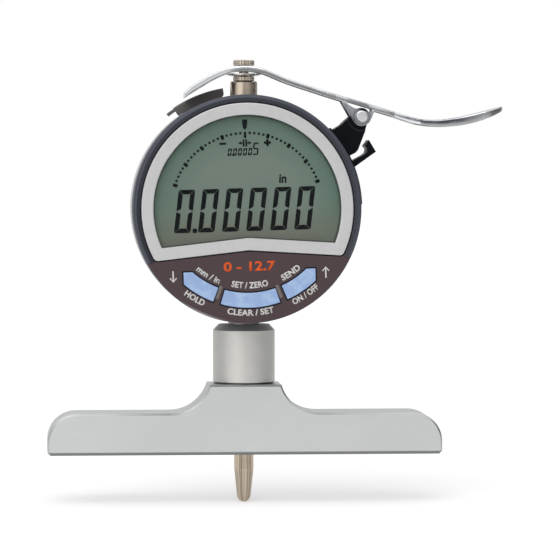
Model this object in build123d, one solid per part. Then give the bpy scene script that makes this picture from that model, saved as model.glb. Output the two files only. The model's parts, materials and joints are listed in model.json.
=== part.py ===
from build123d import *
import math
import os

# Digital depth gauge: a round display head clamped by its stem in a flat bridge base.
# Millimetres. X runs right, Y runs away from the viewer, Z runs up.
# The spindle axis is the Z axis, and Z = 0 is the measuring face under the base.

# Clearances and small edges used all over
FIT = 0.02
RUN = 0.05
SEAT = 0.1
THROUGH = 1.0
SMALL_EDGE = 0.25

# Bridge base
BASE_LENGTH = 101.6
BASE_DEPTH = 16.0
WING_HEIGHT = 10.7
HUB_HEIGHT = 18.0
HUB_HALF_WIDTH = 9.25
HUB_FILLET_R = 10.2
WING_CORNER_R = 7.5
BASE_EDGE_CHAMFER = 0.5
BASE_FOOT_CHAMFER = 0.8

# Clamp collar on the hub
COLLAR_R = 8.0
COLLAR_HEIGHT = 15.3
COLLAR_CHAMFER_DROP = 1.5
COLLAR_CHAMFER_IN = 1.4
COLLAR_RELIEF = 0.35
COLLAR_FOOT_EDGE = 0.15
SPIGOT_WALL = 1.5
SPIGOT_LENGTH = 7.7
COLLAR_SCREW_R = 1.5
COLLAR_SCREW_HEIGHT = 7.5
COLLAR_SCREW_SUNK = 0.3
COLLAR_SCREW_KEY = 1.6

# Head: a rotating face in front of a fixed case, both round about the head axis
HEAD_GAP = 0.8
BEZEL_R = 29.1
CASE_UNDERCUT = 0.1
CASE_WALL = 2.0
CASE_EDGE = 0.3
FACE_TILT = -1.7
RING_FRONT_Y = -16.0
PANEL_STEP = 0.3
PANEL_THICKNESS = 1.6
SKIRT_WALL = 2.5
SKIRT_REAR_Y = -5.0
RING_CREST_WIDTH = 0.9
RING_EDGE_R = 1.0
FACE_SEAM = 0.3
NECK_GAP = 1.2
NECK_WALL = 1.8
NECK_FRONT_Y = -8.2
CASE_FRONT_WALL = 1.5
CASE_REAR_Y = 10.6
BACK_THICKNESS = 1.4
BACK_EDGE = 0.8
RETAINING_Y = -6.4
RETAINING_THICKNESS = 0.6
RETAINING_SLIT = 16.0
RING_GRIP = 0.5
STOP_HALF = 6.5
STOP_THICKNESS = 0.8
STOP_REACH = 0.9
CABLE_HOLE_R = 5.0

# Display opening, its heights measured from the head axis
RING_WIDTH = 2.1
FRAME_WIDTH = 3.1
FRAME_FOOT_WIDTH = 3.15
FRAME_APEX = -10.5
FRAME_CORNER_R = 1.3
FRAME_EDGE_R = 0.3
FRAME_SLOPE = 5.0
FRAME_GROOVE = 0.3
FRAME_DEPTH = 1.9
LENS_THICKNESS = 0.8
LENS_LIP = 0.9
LCD_MARGIN = 0.7
LCD_LEDGE = 1.9
LCD_THICKNESS = 2.0
LCD_GAP = 0.1
HOLDER_WALL = 1.2
ZEBRA_THICKNESS = 1.0
ZEBRA_HEIGHT = 2.0
ZEBRA_UPPER_HALF = 12.0
ZEBRA_UPPER_FOOT = 17.5
ZEBRA_LOWER_HALF = 18.0
ZEBRA_LOWER_FOOT = -6.0
BOARD_THICKNESS = 1.0
BOARD_BACK_GAP = 0.2
CHIP_SIDE = 10.0
CHIP_FOOT = 3.0
CHIP_HEIGHT = 0.9
FACE_BACK_THICKNESS = 1.2
DISC_GAP = 0.3
FACE_BOSS_CLOCKS = (0.0, 120.0, 240.0)
FACE_BOSS_R = 1.8
FACE_BOSS_INSET = 1.4

# Keys, measured from the head axis
KEY_MARGIN = 4.0
KEY_WIDTH = 3.8
KEY_CENTRE_HALF = 17.6
KEY_SIDE_START = 22.2
KEY_SIDE_END = 60.0
KEY_SIDE_INSET = 4.5
KEY_SIDE_DROP = 5.1
KEY_PROUD = 0.6
KEY_EDGE_R = 0.22
KEY_TRAVEL = 0.6
KEY_GAP = 0.3
KEY_FLANGE = 0.6
KEY_FLANGE_THICKNESS = 0.8
KEY_MAT_GAP = 0.1
KEY_MAT_THICKNESS = 0.8
KEY_MAT_HALF = 47.0
KEY_MAT_MARGIN = 2.5
KEY_PAD_R = 1.4
KEY_PAD_CLOCK = 32.0

# Stem, sleeve and spindle
STEM_R = 4.0
STEM_WALL = 0.95
STEM_DEPTH_IN_HUB = 2.0
STEM_CHAMFER = 0.4
STEM_FLANGE_WIDTH = 1.4
STEM_FLANGE = 1.2
BOSS_WALL = 2.4
LOWER_BOSS_HEIGHT = 7.8
BUSH_LENGTH = 10.0
BUSH_SUNK = 0.5
SPINDLE_R = 2.0
STUD_R = 1.25
SLEEVE_R = 3.5
SLEEVE_WALL = 0.75
SLEEVE_PROUD = 3.7
UPPER_BOSS_WALL = 2.5
UPPER_BOSS_DEPTH = 10.2
SLEEVE_SEAT_DEPTH = 2.0
STROKE = 12.7
STROKE_SPARE = 0.2

# Pieces screwed on the spindle's ends
CAP_R = 2.75
CAP_HEIGHT = 1.1
CAP_STOP_GAP = 0.1
DISH_R = 4.5
DISH_THICKNESS = 0.3
DISH_RISE = 0.5
DISH_RIM = 0.4
KNOB_HEIGHT = 1.45
KNURL_COUNT = 24
KNURL_DEPTH = 0.14
CONTACT_R = 2.5
CONTACT_BORE_GAP = 0.6
CONTACT_TOP_Z = 2.2
CONTACT_TAPER_Z = -4.4
CONTACT_TIP_R = 1.75
CONTACT_TIP_Z = -11.4
CONTACT_END_Z = -12.7
CONTACT_STUD = 5.0
FLUTE_COUNT = 20
FLUTE_R = 0.26
FLUTE_FOOT_Z = -4.0

# Lifting lever, measured from its pivot
PIVOT_REACH = 9.3892
PIVOT_CLOCK = 51.8763
LEVER_GAP = 0.6
LEVER_SPREAD = 4.0
PAD_SPREAD = 6.0
PAD_START_X = 15.0
PAD_END_X = 37.0
PAD_DROOP = 0.95
LEVER_WAIST_X = 8.5
LEVER_WEB = 0.8
LEVER_RIM = 1.4
LEVER_NOSE_RIM = 1.05
LEVER_BEND_R = 0.4
LEVER_TIP_ROLL = 0.72
SLOT_LENGTH = 12.0
SLOT_START = 1.8
SLOT_HALF_WIDTH = 1.55
EAR_R = 2.5
PIN_R = 1.0
PIN_HEAD_R = 1.55
PIN_HEAD = 0.6
PIN_DOME_R = 0.45
LUG_R = 2.2
LUG_RECESS_R = 3.7
LUG_SIDE_GAP = 0.2

# Bracket that carries the lever
SADDLE_THICKNESS = 1.35
SADDLE_START = 47.0
SADDLE_END = 88.0
BRACKET_SCREW_CLOCKS = (75.5, 84.0)

# Data port, its angles from straight up, clockwise seen from the front
PORT_CLOCK = -22.0
PORT_HALF_WIDTH = 6.2
PORT_WIDTH_Y = 4.6
PORT_REAR_WALL = 1.0
PORT_DEPTH = 7.5
PORT_WALL = 1.0
COVER_THICKNESS = 2.5
COVER_START_SPAN = 12.6
COVER_END_SPAN = 12.5
COVER_HINGE_SPAN = 2.2
COVER_TAB_SPAN = 4.2
COVER_MARGIN = 0.6
COVER_LIP = 0.7
COVER_LIP_INSET = 1.2
COVER_TAB = 0.8
COVER_TAB_DROP = 0.2
COVER_EDGE_R = 0.5
CONNECTOR_GAP = 0.3
CONNECTOR_HEIGHT = 0.7
CONTACT_PITCH = 2.0
CONTACT_WIDTH = 1.0
CONTACT_PROUD = 0.15

# Inner works
CARRIER_GAP = 5.0
CARRIER_HALF_WIDTH = 5.2
CARRIER_FRONT_Y = -3.2
CARRIER_REAR_Y = 6.5
CARRIER_HEIGHT = 14.0
CARRIER_EDGE_R = 0.6
CARRIER_SCREW_DROP = 3.0
EAR_THICKNESS = 2.2
EAR_MARGIN = 0.5
SCALE_HALF_WIDTH = 4.2
SCALE_THICKNESS = 0.8
SCALE_OVERHANG = 2.0
SCALE_LENGTH = 22.0
DETECTOR_GAP = 0.3
DETECTOR_THICKNESS = 1.0
DETECTOR_HALF_WIDTH = 6.0
DETECTOR_RISE = 11.0
DETECTOR_HEIGHT = 8.0
RAIL_GAP = 1.4
RAIL_WIDTH = 3.2
RAIL_FOOT_GAP = 2.0
RAIL_REAR_Y = 2.2
RAIL_SCREW_INSET = 2.0
RAIL_SLOT_SPARE = 2.5
GUIDE_PIN_R = 1.0
GUIDE_PIN_SHORT = 0.2
SPRING_GAP = 3.3
SPRING_Y = -2.0
SPRING_R = 1.5
SPRING_COILS = 12
SPRING_RISE = 4.3
SPRING_SEAT_GAP = 0.3
SPRING_POST_R = 1.0
SPRING_POST_SPARE = 1.2
HOLDER_CASE_GAP = 3.2
HOLDER_RAIL_GAP = 0.4
BATTERY_DROP = 7.2
BATTERY_RIM = 0.9
BATTERY_STEP = 0.6
BATTERY_HEIGHT = 5.4
BATTERY_SUNK = 0.5
HOLDER_RADIAL_GAP = 0.2
HOLDER_RING = 0.8
HOLDER_FLOOR = 1.2
CONTACT_SHEET = 0.3
FRONT_SHEET_GAP = 2.8
FRONT_SHEET_TAIL = 1.0
REAR_SHEET_GAP = 2.5
REAR_DIMPLE_R = 1.5
LID_MARGIN = 1.2
LID_EAR_OUT = 1.1
LID_EAR_CLOCK = 60.0
LID_EAR_R = 1.9
LID_THICKNESS = 0.8
LID_SLOT = (8.0, 0.6, 1.4)
MAIN_BOARD_RIGHT_GAP = 7.0
MAIN_BOARD_LEFT_GAP = 8.0
MAIN_BOARD_FOOT = -13.2
MAIN_BOARD_TOP = 12.3
MAIN_BOARD_GAP = 1.0
BOARD_POST_RIGHT_GAP = 10.0
BOARD_POST_LEFT_GAP = 10.5
BOARD_POST_HEIGHTS = (9.8, -10.2, 8.3)
BOARD_POST_R = 2.0

# Screws
SCREW_R = 0.8
SCREW_HEAD_R = 1.6
SCREW_HEAD = 0.8
CASE_SCREW_LENGTH = 5.0
BOARD_SCREW_LENGTH = 3.5
BOARD_SCREW_HEAD_R = 1.5
RAIL_SCREW_HEAD_R = 1.4
SMALL_SCREW_R = 0.6
SMALL_HEAD_R = 1.25
SMALL_HEAD = 0.6
LID_SCREW_HEAD_R = 1.2
LID_SCREW_HEAD = 0.45
LID_SCREW_SUNK = 0.5
CASE_POST_CLOCKS = (45.0, 135.0, 225.0, 315.0)
CASE_POST_INSET = 3.1
POST_R = 2.5
POST_SUNK = 0.2

# Radii and depths of the head
SPIGOT_R = STEM_R + SPIGOT_WALL
COLLAR_TOP_Z = HUB_HEIGHT + COLLAR_HEIGHT
COLLAR_SCREW_Z = HUB_HEIGHT + COLLAR_SCREW_HEIGHT
PROBE_BORE_R = CONTACT_R + CONTACT_BORE_GAP
HEAD_Z = COLLAR_TOP_Z + HEAD_GAP + BEZEL_R
HEAD_AXIS = Axis((0, 0, HEAD_Z), (0, 1, 0))
CASE_R = BEZEL_R - CASE_UNDERCUT
CASE_INNER_R = CASE_R - CASE_WALL
SKIRT_INNER_R = BEZEL_R - SKIRT_WALL
NECK_R = SKIRT_INNER_R - NECK_GAP
FRAME_R = BEZEL_R - RING_WIDTH
WINDOW_R = FRAME_R - FRAME_WIDTH
WINDOW_APEX = FRAME_APEX + FRAME_FOOT_WIDTH
FACE_BOSS_RADIUS = SKIRT_INNER_R - FACE_BOSS_INSET
POST_RADIUS = CASE_INNER_R - CASE_POST_INSET
PANEL_Y = RING_FRONT_Y + PANEL_STEP
PANEL_REAR_Y = PANEL_Y + PANEL_THICKNESS
LENS_REAR_Y = PANEL_REAR_Y
LENS_FRONT_Y = LENS_REAR_Y - LENS_THICKNESS
LCD_FRONT_Y = LENS_REAR_Y + LCD_GAP
LCD_REAR_Y = LCD_FRONT_Y + LCD_THICKNESS
DISPLAY_BOARD_Y = LCD_REAR_Y + ZEBRA_THICKNESS
FACE_BACK_Y = DISPLAY_BOARD_Y + BOARD_THICKNESS + BOARD_BACK_GAP
CASE_STEP_Y = SKIRT_REAR_Y + FACE_SEAM
CASE_INNER_Y = NECK_FRONT_Y + CASE_FRONT_WALL
BACK_REAR_Y = CASE_REAR_Y + BACK_THICKNESS
KEY_OUTER_R = BEZEL_R - KEY_MARGIN
KEY_INNER_R = KEY_OUTER_R - KEY_WIDTH
KEY_SIDE_X = KEY_INNER_R - KEY_SIDE_INSET
KEY_SIDE_Z = FRAME_APEX - KEY_SIDE_DROP

# Heights along the spindle
STEM_BORE_R = STEM_R - STEM_WALL
STEM_FOOT_Z = HUB_HEIGHT - STEM_DEPTH_IN_HUB
STEM_FLANGE_R = STEM_R + STEM_FLANGE_WIDTH
LOWER_BOSS_R = STEM_R + BOSS_WALL
LOWER_BOSS_TOP = HEAD_Z - CASE_R + LOWER_BOSS_HEIGHT
SLEEVE_BORE_R = SLEEVE_R - SLEEVE_WALL
UPPER_BOSS_R = SLEEVE_R + UPPER_BOSS_WALL
UPPER_BOSS_FOOT = HEAD_Z + CASE_R - UPPER_BOSS_DEPTH
SLEEVE_FOOT_Z = UPPER_BOSS_FOOT + SLEEVE_SEAT_DEPTH
SLEEVE_TOP_Z = HEAD_Z + CASE_R + SLEEVE_PROUD
SHOULDER_Z = SLEEVE_TOP_Z + CAP_STOP_GAP
DISH_FOOT_Z = SHOULDER_Z + CAP_HEIGHT
DISH_TOP_Z = DISH_FOOT_Z + DISH_RISE + DISH_THICKNESS
LEVER_TOP_Z = DISH_TOP_Z + LEVER_GAP + LEVER_RIM
KNOB_FOOT_Z = LEVER_TOP_Z + RUN

# The lever's pivot and its slot
PIVOT_X = (CASE_R + PIVOT_REACH) * math.sin(math.radians(PIVOT_CLOCK))
PIVOT_Z = HEAD_Z + (CASE_R + PIVOT_REACH) * math.cos(math.radians(PIVOT_CLOCK))
LEVER_RISE = LEVER_TOP_Z - PIVOT_Z
SLOT_START_X = SLOT_START - PIVOT_X

# The port and its cover
PORT_REAR_Y = CASE_REAR_Y - PORT_REAR_WALL
PORT_FRONT_Y = PORT_REAR_Y - PORT_WIDTH_Y
PORT_FLOOR_R = CASE_R - PORT_DEPTH
COVER_R = CASE_R + COVER_THICKNESS
COVER_END_R = COVER_THICKNESS / 2 - RUN
COVER_START = PORT_CLOCK + COVER_START_SPAN
COVER_HINGE = COVER_START - COVER_HINGE_SPAN
COVER_END = PORT_CLOCK - COVER_END_SPAN
COVER_TAB_END = COVER_END - COVER_TAB_SPAN
COVER_FRONT_Y = PORT_FRONT_Y - COVER_MARGIN
COVER_REAR_Y = PORT_REAR_Y + COVER_MARGIN

# Places of the inner works
CARRIER_FOOT_Z = LOWER_BOSS_TOP + CARRIER_GAP
CARRIER_TOP_Z = CARRIER_FOOT_Z + CARRIER_HEIGHT
CARRIER_SCREW_Z = CARRIER_TOP_Z - CARRIER_SCREW_DROP
SCALE_FOOT_Z = CARRIER_FOOT_Z - SCALE_OVERHANG
SCALE_REAR_Y = CARRIER_REAR_Y + SCALE_THICKNESS
DETECTOR_FOOT_Z = CARRIER_FOOT_Z + DETECTOR_RISE
DETECTOR_Y = SCALE_REAR_Y + DETECTOR_GAP
MAIN_BOARD_Y = DETECTOR_Y + DETECTOR_THICKNESS
RAIL_INNER_X = -CARRIER_HALF_WIDTH - RAIL_GAP
RAIL_OUTER_X = RAIL_INNER_X - RAIL_WIDTH
RAIL_MIDDLE_X = (RAIL_INNER_X + RAIL_OUTER_X) / 2
RAIL_FOOT_Z = LOWER_BOSS_TOP + RAIL_FOOT_GAP
RAIL_TOP_Z = UPPER_BOSS_FOOT
RAIL_SCREW_HEIGHTS = (RAIL_FOOT_Z + RAIL_SCREW_INSET, RAIL_TOP_Z - RAIL_SCREW_INSET)
GUIDE_PIN_Z = CARRIER_FOOT_Z + CARRIER_HEIGHT / 2
SPRING_X = CARRIER_HALF_WIDTH + SPRING_GAP
SPRING_FOOT_Z = LOWER_BOSS_TOP + SPRING_RISE
EAR_FOOT_Z = CARRIER_TOP_Z - EAR_THICKNESS
SPRING_TOP_Z = EAR_FOOT_Z - SPRING_SEAT_GAP
SPRING_POST_Z = SPRING_FOOT_Z - SPRING_SEAT_GAP - SPRING_POST_R
HOLDER_OUTER_R = (CASE_INNER_R - HOLDER_CASE_GAP - HOLDER_RAIL_GAP + RAIL_OUTER_X) / 2
HOLDER_R = HOLDER_OUTER_R - HOLDER_RING
BATTERY_R = HOLDER_R - HOLDER_RADIAL_GAP
BATTERY_X = RAIL_OUTER_X - HOLDER_RAIL_GAP - HOLDER_OUTER_R
BATTERY_Z = HEAD_Z - BATTERY_DROP
BATTERY_REAR_Y = CASE_REAR_Y - BATTERY_SUNK
BATTERY_FRONT_Y = BATTERY_REAR_Y - BATTERY_HEIGHT
FRONT_SHEET_R = HOLDER_R - FRONT_SHEET_GAP
REAR_SHEET_R = HOLDER_R - REAR_SHEET_GAP
LID_R = HOLDER_R + LID_MARGIN
LID_EAR_REACH = LID_R + LID_EAR_OUT
MAIN_BOARD_RIGHT = CASE_INNER_R - MAIN_BOARD_RIGHT_GAP
MAIN_BOARD_LEFT = MAIN_BOARD_LEFT_GAP - CASE_INNER_R
BOARD_POST_RIGHT = CASE_INNER_R - BOARD_POST_RIGHT_GAP
BOARD_POST_LEFT = BOARD_POST_LEFT_GAP - CASE_INNER_R
BOARD_POSTS = tuple(zip((BOARD_POST_RIGHT, BOARD_POST_RIGHT, BOARD_POST_LEFT), BOARD_POST_HEIGHTS))


# Shapes used by several pieces

def turned(points):
    """A piece turned about the spindle axis, from (radius, z) points."""
    return revolve(make_face(Polyline(*[(r, 0, z) for r, z in points], close=True)), Axis.Z)


def head_turned(points):
    """A piece turned about the head axis, from (radius, y) points."""
    return revolve(make_face(Polyline(*[(0, y, HEAD_Z + r) for r, y in points], close=True)), HEAD_AXIS)


def rod_y(radius, front, rear, x, z):
    return Pos(x, (front + rear) / 2, z) * Rot(90, 0, 0) * Cylinder(radius, rear - front)


def rod_z(radius, foot, top, x=0.0, y=0.0):
    return Pos(x, y, (foot + top) / 2) * Cylinder(radius, top - foot)


def block(x0, x1, y0, y1, z0, z1):
    return Pos((x0 + x1) / 2, (y0 + y1) / 2, (z0 + z1) / 2) * Box(x1 - x0, y1 - y0, z1 - z0)


def prism_y(sketch, front, rear, x=0.0, z=0.0):
    """A sketch of (x, z) points, pushed out between two depths."""
    plane = Plane(origin=(x, rear, z), x_dir=(1, 0, 0), z_dir=(0, -1, 0))
    return extrude(plane * sketch, amount=rear - front, dir=(0, -1, 0))


def head_prism(sketch, front, rear):
    return prism_y(sketch, front, rear, 0.0, HEAD_Z)


def at_clock(piece, degrees):
    """Turns a piece made straight above the head axis to a clock angle."""
    return piece.rotate(HEAD_AXIS, degrees)


def clock_point(radius, degrees):
    angle = math.radians(degrees)
    return radius * math.sin(angle), radius * math.cos(angle)


def head_point(radius, degrees):
    x, z = clock_point(radius, degrees)
    return x, HEAD_Z + z


def ring_sector(inner, outer, start, end):
    """A flat piece of a ring between two clock angles."""
    middle = (start + end) / 2
    far = ThreePointArc(*[clock_point(outer, a) for a in (start, middle, end)])
    near = ThreePointArc(*[clock_point(inner, a) for a in (end, middle, start)])
    return make_face([far, Line(far @ 1, near @ 0), near, Line(near @ 1, far @ 0)])


def d_outline(radius, apex, corner_r=0.0):
    """The display's outline: a circle cut off below by a shallow roof line."""
    reach = radius * 1.2
    low = apex - reach * math.tan(math.radians(FRAME_SLOPE))
    keep = Polygon((-reach, low), (0, apex), (reach, low), (reach, reach), (-reach, reach), align=None)
    shape = Circle(radius) & keep
    if corner_r > 0:
        shape = fillet(shape.vertices().sort_by(Axis.Y)[:2], corner_r)
    return shape


def screw_y(x, z, tip_y, seat_y, head_r=SCREW_HEAD_R, head=SCREW_HEAD, shank=SCREW_R):
    """A pan head screw driven from behind, with a cross cut in its head."""
    body = rod_y(shank, tip_y, seat_y, x, z) + rod_y(head_r, seat_y, seat_y + head, x, z)
    half = head_r * 0.6
    cut_y = seat_y + head * 0.5
    for angle in (45, 135):
        cut = Pos(x, cut_y + head / 2, z) * Rot(0, angle, 0) * Box(2 * half, head, head_r * 0.28)
        body -= cut
    return body


def knurl(piece, radius, foot, top):
    """Cuts fine grooves up the side of a small turned knob."""
    for index in range(KNURL_COUNT):
        angle = index * 360 / KNURL_COUNT
        tooth = Pos(radius + KNURL_DEPTH * 0.4, 0, (foot + top) / 2) * Rot(0, 0, 45)
        tooth *= Box(2 * KNURL_DEPTH, 2 * KNURL_DEPTH, top - foot + 1)
        piece -= Rot(0, 0, angle) * tooth
    return piece


# Base and clamp collar

def base_profile():
    half = BASE_LENGTH / 2
    foot = BASE_FOOT_CHAMFER
    sweep = math.acos((HUB_FILLET_R - HUB_HEIGHT + WING_HEIGHT) / HUB_FILLET_R)
    centre_x = HUB_HALF_WIDTH + HUB_FILLET_R * math.sin(sweep)
    fillet_mid = (centre_x - HUB_FILLET_R * math.sin(sweep / 2),
                  WING_HEIGHT + HUB_FILLET_R * (1 - math.cos(sweep / 2)))
    corner = WING_CORNER_R * (1 - math.sqrt(0.5))
    right = [
        Line((0, 0), (half - foot, 0)),
        Line((half - foot, 0), (half, foot)),
        Line((half, foot), (half, WING_HEIGHT - WING_CORNER_R)),
        ThreePointArc((half, WING_HEIGHT - WING_CORNER_R), (half - corner, WING_HEIGHT - corner),
                      (half - WING_CORNER_R, WING_HEIGHT)),
        Line((half - WING_CORNER_R, WING_HEIGHT), (centre_x, WING_HEIGHT)),
        ThreePointArc((centre_x, WING_HEIGHT), fillet_mid, (HUB_HALF_WIDTH, HUB_HEIGHT)),
        Line((HUB_HALF_WIDTH, HUB_HEIGHT), (0, HUB_HEIGHT)),
    ]
    left = [mirror(edge, Plane.YZ) for edge in right]
    return make_face([*right, *left])


def base():
    half = BASE_DEPTH / 2
    body = prism_y(base_profile(), -half, half)
    rims = body.edges().filter_by(lambda e: abs(abs(e.center().Y) - half) < 1e-6)
    body = chamfer(rims, BASE_EDGE_CHAMFER)
    body -= rod_z(PROBE_BORE_R, -THROUGH, HUB_HEIGHT)
    body -= rod_z(SPIGOT_R + FIT, HUB_HEIGHT - SPIGOT_LENGTH - SEAT, HUB_HEIGHT + THROUGH)
    return body


def clamp_collar():
    relief = COLLAR_RELIEF
    shoulder = COLLAR_TOP_Z - COLLAR_CHAMFER_DROP
    body = turned([
        (STEM_R + FIT, HUB_HEIGHT - SPIGOT_LENGTH), (SPIGOT_R, HUB_HEIGHT - SPIGOT_LENGTH),
        (SPIGOT_R, HUB_HEIGHT), (COLLAR_R - relief, HUB_HEIGHT),
        (COLLAR_R - relief, HUB_HEIGHT + relief), (COLLAR_R, HUB_HEIGHT + relief + COLLAR_FOOT_EDGE),
        (COLLAR_R, shoulder), (COLLAR_R - COLLAR_CHAMFER_IN, COLLAR_TOP_Z),
        (STEM_R + FIT, COLLAR_TOP_Z),
    ])
    return body - rod_y(COLLAR_SCREW_R + FIT, 0, COLLAR_R + THROUGH, 0, COLLAR_SCREW_Z)


def collar_screw():
    """A socket set screw that holds the stem from behind."""
    tip = STEM_R + FIT
    end = COLLAR_R - COLLAR_SCREW_SUNK
    body = rod_y(COLLAR_SCREW_R, tip, end, 0, COLLAR_SCREW_Z)
    key = RegularPolygon(COLLAR_SCREW_R * 0.55, 6)
    return body - prism_y(key, end - COLLAR_SCREW_KEY, end + THROUGH, 0, COLLAR_SCREW_Z)


# Stem, bushes and sleeve

def stem():
    top = LOWER_BOSS_TOP + STEM_FLANGE
    return turned([
        (STEM_BORE_R, STEM_FOOT_Z), (STEM_R - STEM_CHAMFER, STEM_FOOT_Z),
        (STEM_R, STEM_FOOT_Z + STEM_CHAMFER), (STEM_R, LOWER_BOSS_TOP),
        (STEM_FLANGE_R, LOWER_BOSS_TOP), (STEM_FLANGE_R, top), (STEM_BORE_R, top),
    ])


def bush(outer, foot):
    inner = SPINDLE_R + RUN
    top = foot + BUSH_LENGTH
    return turned([(inner, foot), (outer, foot), (outer, top), (inner, top)])


def lower_bush():
    return bush(STEM_BORE_R - FIT, STEM_FOOT_Z + BUSH_SUNK)


def upper_bush():
    return bush(SLEEVE_BORE_R - FIT, SLEEVE_TOP_Z - BUSH_LENGTH - 2 * BUSH_SUNK)


def upper_sleeve():
    edge = SMALL_EDGE
    return turned([
        (SLEEVE_BORE_R, SLEEVE_FOOT_Z), (SLEEVE_R, SLEEVE_FOOT_Z), (SLEEVE_R, SLEEVE_TOP_Z - edge),
        (SLEEVE_R - edge, SLEEVE_TOP_Z), (SLEEVE_BORE_R, SLEEVE_TOP_Z),
    ])


# Spindle and what is screwed on it

def spindle():
    stud_top = KNOB_FOOT_Z + KNOB_HEIGHT - 2 * SMALL_EDGE
    body = turned([
        (0, CONTACT_TOP_Z), (SPINDLE_R, CONTACT_TOP_Z), (SPINDLE_R, SHOULDER_Z), (STUD_R, SHOULDER_Z),
        (STUD_R, stud_top - SMALL_EDGE), (STUD_R - SMALL_EDGE, stud_top), (0, stud_top),
    ])
    return body - rod_z(STUD_R + FIT, CONTACT_TOP_Z - THROUGH, CONTACT_TOP_Z + CONTACT_STUD + THROUGH)


def contact_point():
    sphere_r = (CONTACT_TIP_R ** 2 + (CONTACT_TIP_Z - CONTACT_END_Z) ** 2)
    sphere_r /= 2 * (CONTACT_TIP_Z - CONTACT_END_Z)
    centre_z = CONTACT_END_Z + sphere_r
    half = math.acos(min(1.0, (centre_z - CONTACT_TIP_Z) / sphere_r)) / 2
    edge = SMALL_EDGE
    stud_top = CONTACT_TOP_Z + CONTACT_STUD
    outline = [
        Line((0, 0, CONTACT_END_Z), (0, 0, stud_top)),
        Line((0, 0, stud_top), (STUD_R, 0, stud_top)),
        Line((STUD_R, 0, stud_top), (STUD_R, 0, CONTACT_TOP_Z)),
        Line((STUD_R, 0, CONTACT_TOP_Z), (CONTACT_R - edge, 0, CONTACT_TOP_Z)),
        Line((CONTACT_R - edge, 0, CONTACT_TOP_Z), (CONTACT_R, 0, CONTACT_TOP_Z - edge)),
        Line((CONTACT_R, 0, CONTACT_TOP_Z - edge), (CONTACT_R, 0, CONTACT_TAPER_Z)),
        Line((CONTACT_R, 0, CONTACT_TAPER_Z), (CONTACT_TIP_R, 0, CONTACT_TIP_Z)),
        ThreePointArc((CONTACT_TIP_R, 0, CONTACT_TIP_Z),
                      (sphere_r * math.sin(half), 0, centre_z - sphere_r * math.cos(half)),
                      (0, 0, CONTACT_END_Z)),
    ]
    body = revolve(make_face(outline), Axis.Z)
    for index in range(FLUTE_COUNT):
        flute = rod_z(FLUTE_R, FLUTE_FOOT_Z, CONTACT_TOP_Z + THROUGH, CONTACT_R + FLUTE_R * 0.4)
        body -= Rot(0, 0, index * 360 / FLUTE_COUNT) * flute
    return body


def spindle_cap():
    edge = KNURL_DEPTH
    top = SHOULDER_Z + CAP_HEIGHT
    body = turned([
        (STUD_R + FIT, SHOULDER_Z), (CAP_R - edge, SHOULDER_Z), (CAP_R, SHOULDER_Z + edge),
        (CAP_R, top - edge), (CAP_R - edge, top), (STUD_R + FIT, top),
    ])
    return knurl(body, CAP_R, SHOULDER_Z, top)


def dished_washer():
    flat = CAP_R + SMALL_EDGE
    low = DISH_FOOT_Z
    bend = low + DISH_RISE * 0.6
    return turned([
        (STUD_R + FIT, low), (flat, low), (DISH_R - DISH_RIM, bend), (DISH_R, low + DISH_RISE),
        (DISH_R, low + DISH_RISE + DISH_THICKNESS), (DISH_R - DISH_RIM, bend + DISH_THICKNESS),
        (flat, low + DISH_THICKNESS), (STUD_R + FIT, low + DISH_THICKNESS),
    ])


def lifting_knob():
    edge = SMALL_EDGE
    top = KNOB_FOOT_Z + KNOB_HEIGHT
    body = turned([
        (0, KNOB_FOOT_Z), (CAP_R - edge, KNOB_FOOT_Z), (CAP_R, KNOB_FOOT_Z + edge),
        (CAP_R, top - edge), (CAP_R - edge, top), (0, top),
    ])
    body = knurl(body, CAP_R, KNOB_FOOT_Z, top)
    return body - rod_z(STUD_R + FIT, KNOB_FOOT_Z - THROUGH, top - 2 * SMALL_EDGE + FIT)


# Lifting lever, its pin and its bracket

def lever_roll_point(roll):
    """A point of the lever's nose: an involute of the circle through the spindle axis.

    Its flat follower, the knob, then rises by the same amount for each degree of the lever.
    """
    reach = LEVER_RISE + PIVOT_X * roll
    return (-PIVOT_X * math.cos(roll) - reach * math.sin(roll),
            -PIVOT_X * math.sin(roll) + reach * math.cos(roll))


def lever_top_points():
    """The lever's top line from its nose to the end of its pad.

    Between the nose and the pivot the points are shares of the span and of the rise.
    """
    steps = 8
    nose = [lever_roll_point(LEVER_TIP_ROLL * (1 - i / steps)) for i in range(steps + 1)]
    shares = [(0.854, 0.958), (0.712, 0.827), (0.464, 0.623), (0.149, 0.392)]
    arm = [(-PIVOT_X * across, LEVER_RISE * up) for across, up in shares]
    pad = [(9.4, 0.95), (14.6, -0.6), (19.5, -0.85), (25.4, -0.1), (31.0, 1.15), (PAD_END_X, 2.75)]
    return nose + arm + pad


def lever_rim_depth(x):
    """How far the lever's rim hangs below its top line: shallow at the nose, deep at the thumb pad."""
    nose_x = lever_top_points()[0][0]
    if x < -PIVOT_X:
        share = (x - nose_x) / (-PIVOT_X - nose_x)
        return LEVER_NOSE_RIM + (LEVER_RIM - LEVER_NOSE_RIM) * share
    share = min(1.0, max(0.0, (x - PAD_START_X) / (PAD_END_X - PAD_START_X)))
    return LEVER_RIM + PAD_DROOP * math.sin(math.pi * share ** 1.3) - 0.3 * share ** 4


def lever_side(depth_of):
    """The lever's side view from its top line down by a depth that depends on x."""
    points = lever_top_points()
    top = Spline(*points)
    low = Spline(*[(x, z - depth_of(x)) for x, z in points])
    return make_face([top, Line(top @ 1, low @ 1), low, Line(low @ 0, top @ 0)])


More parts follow.
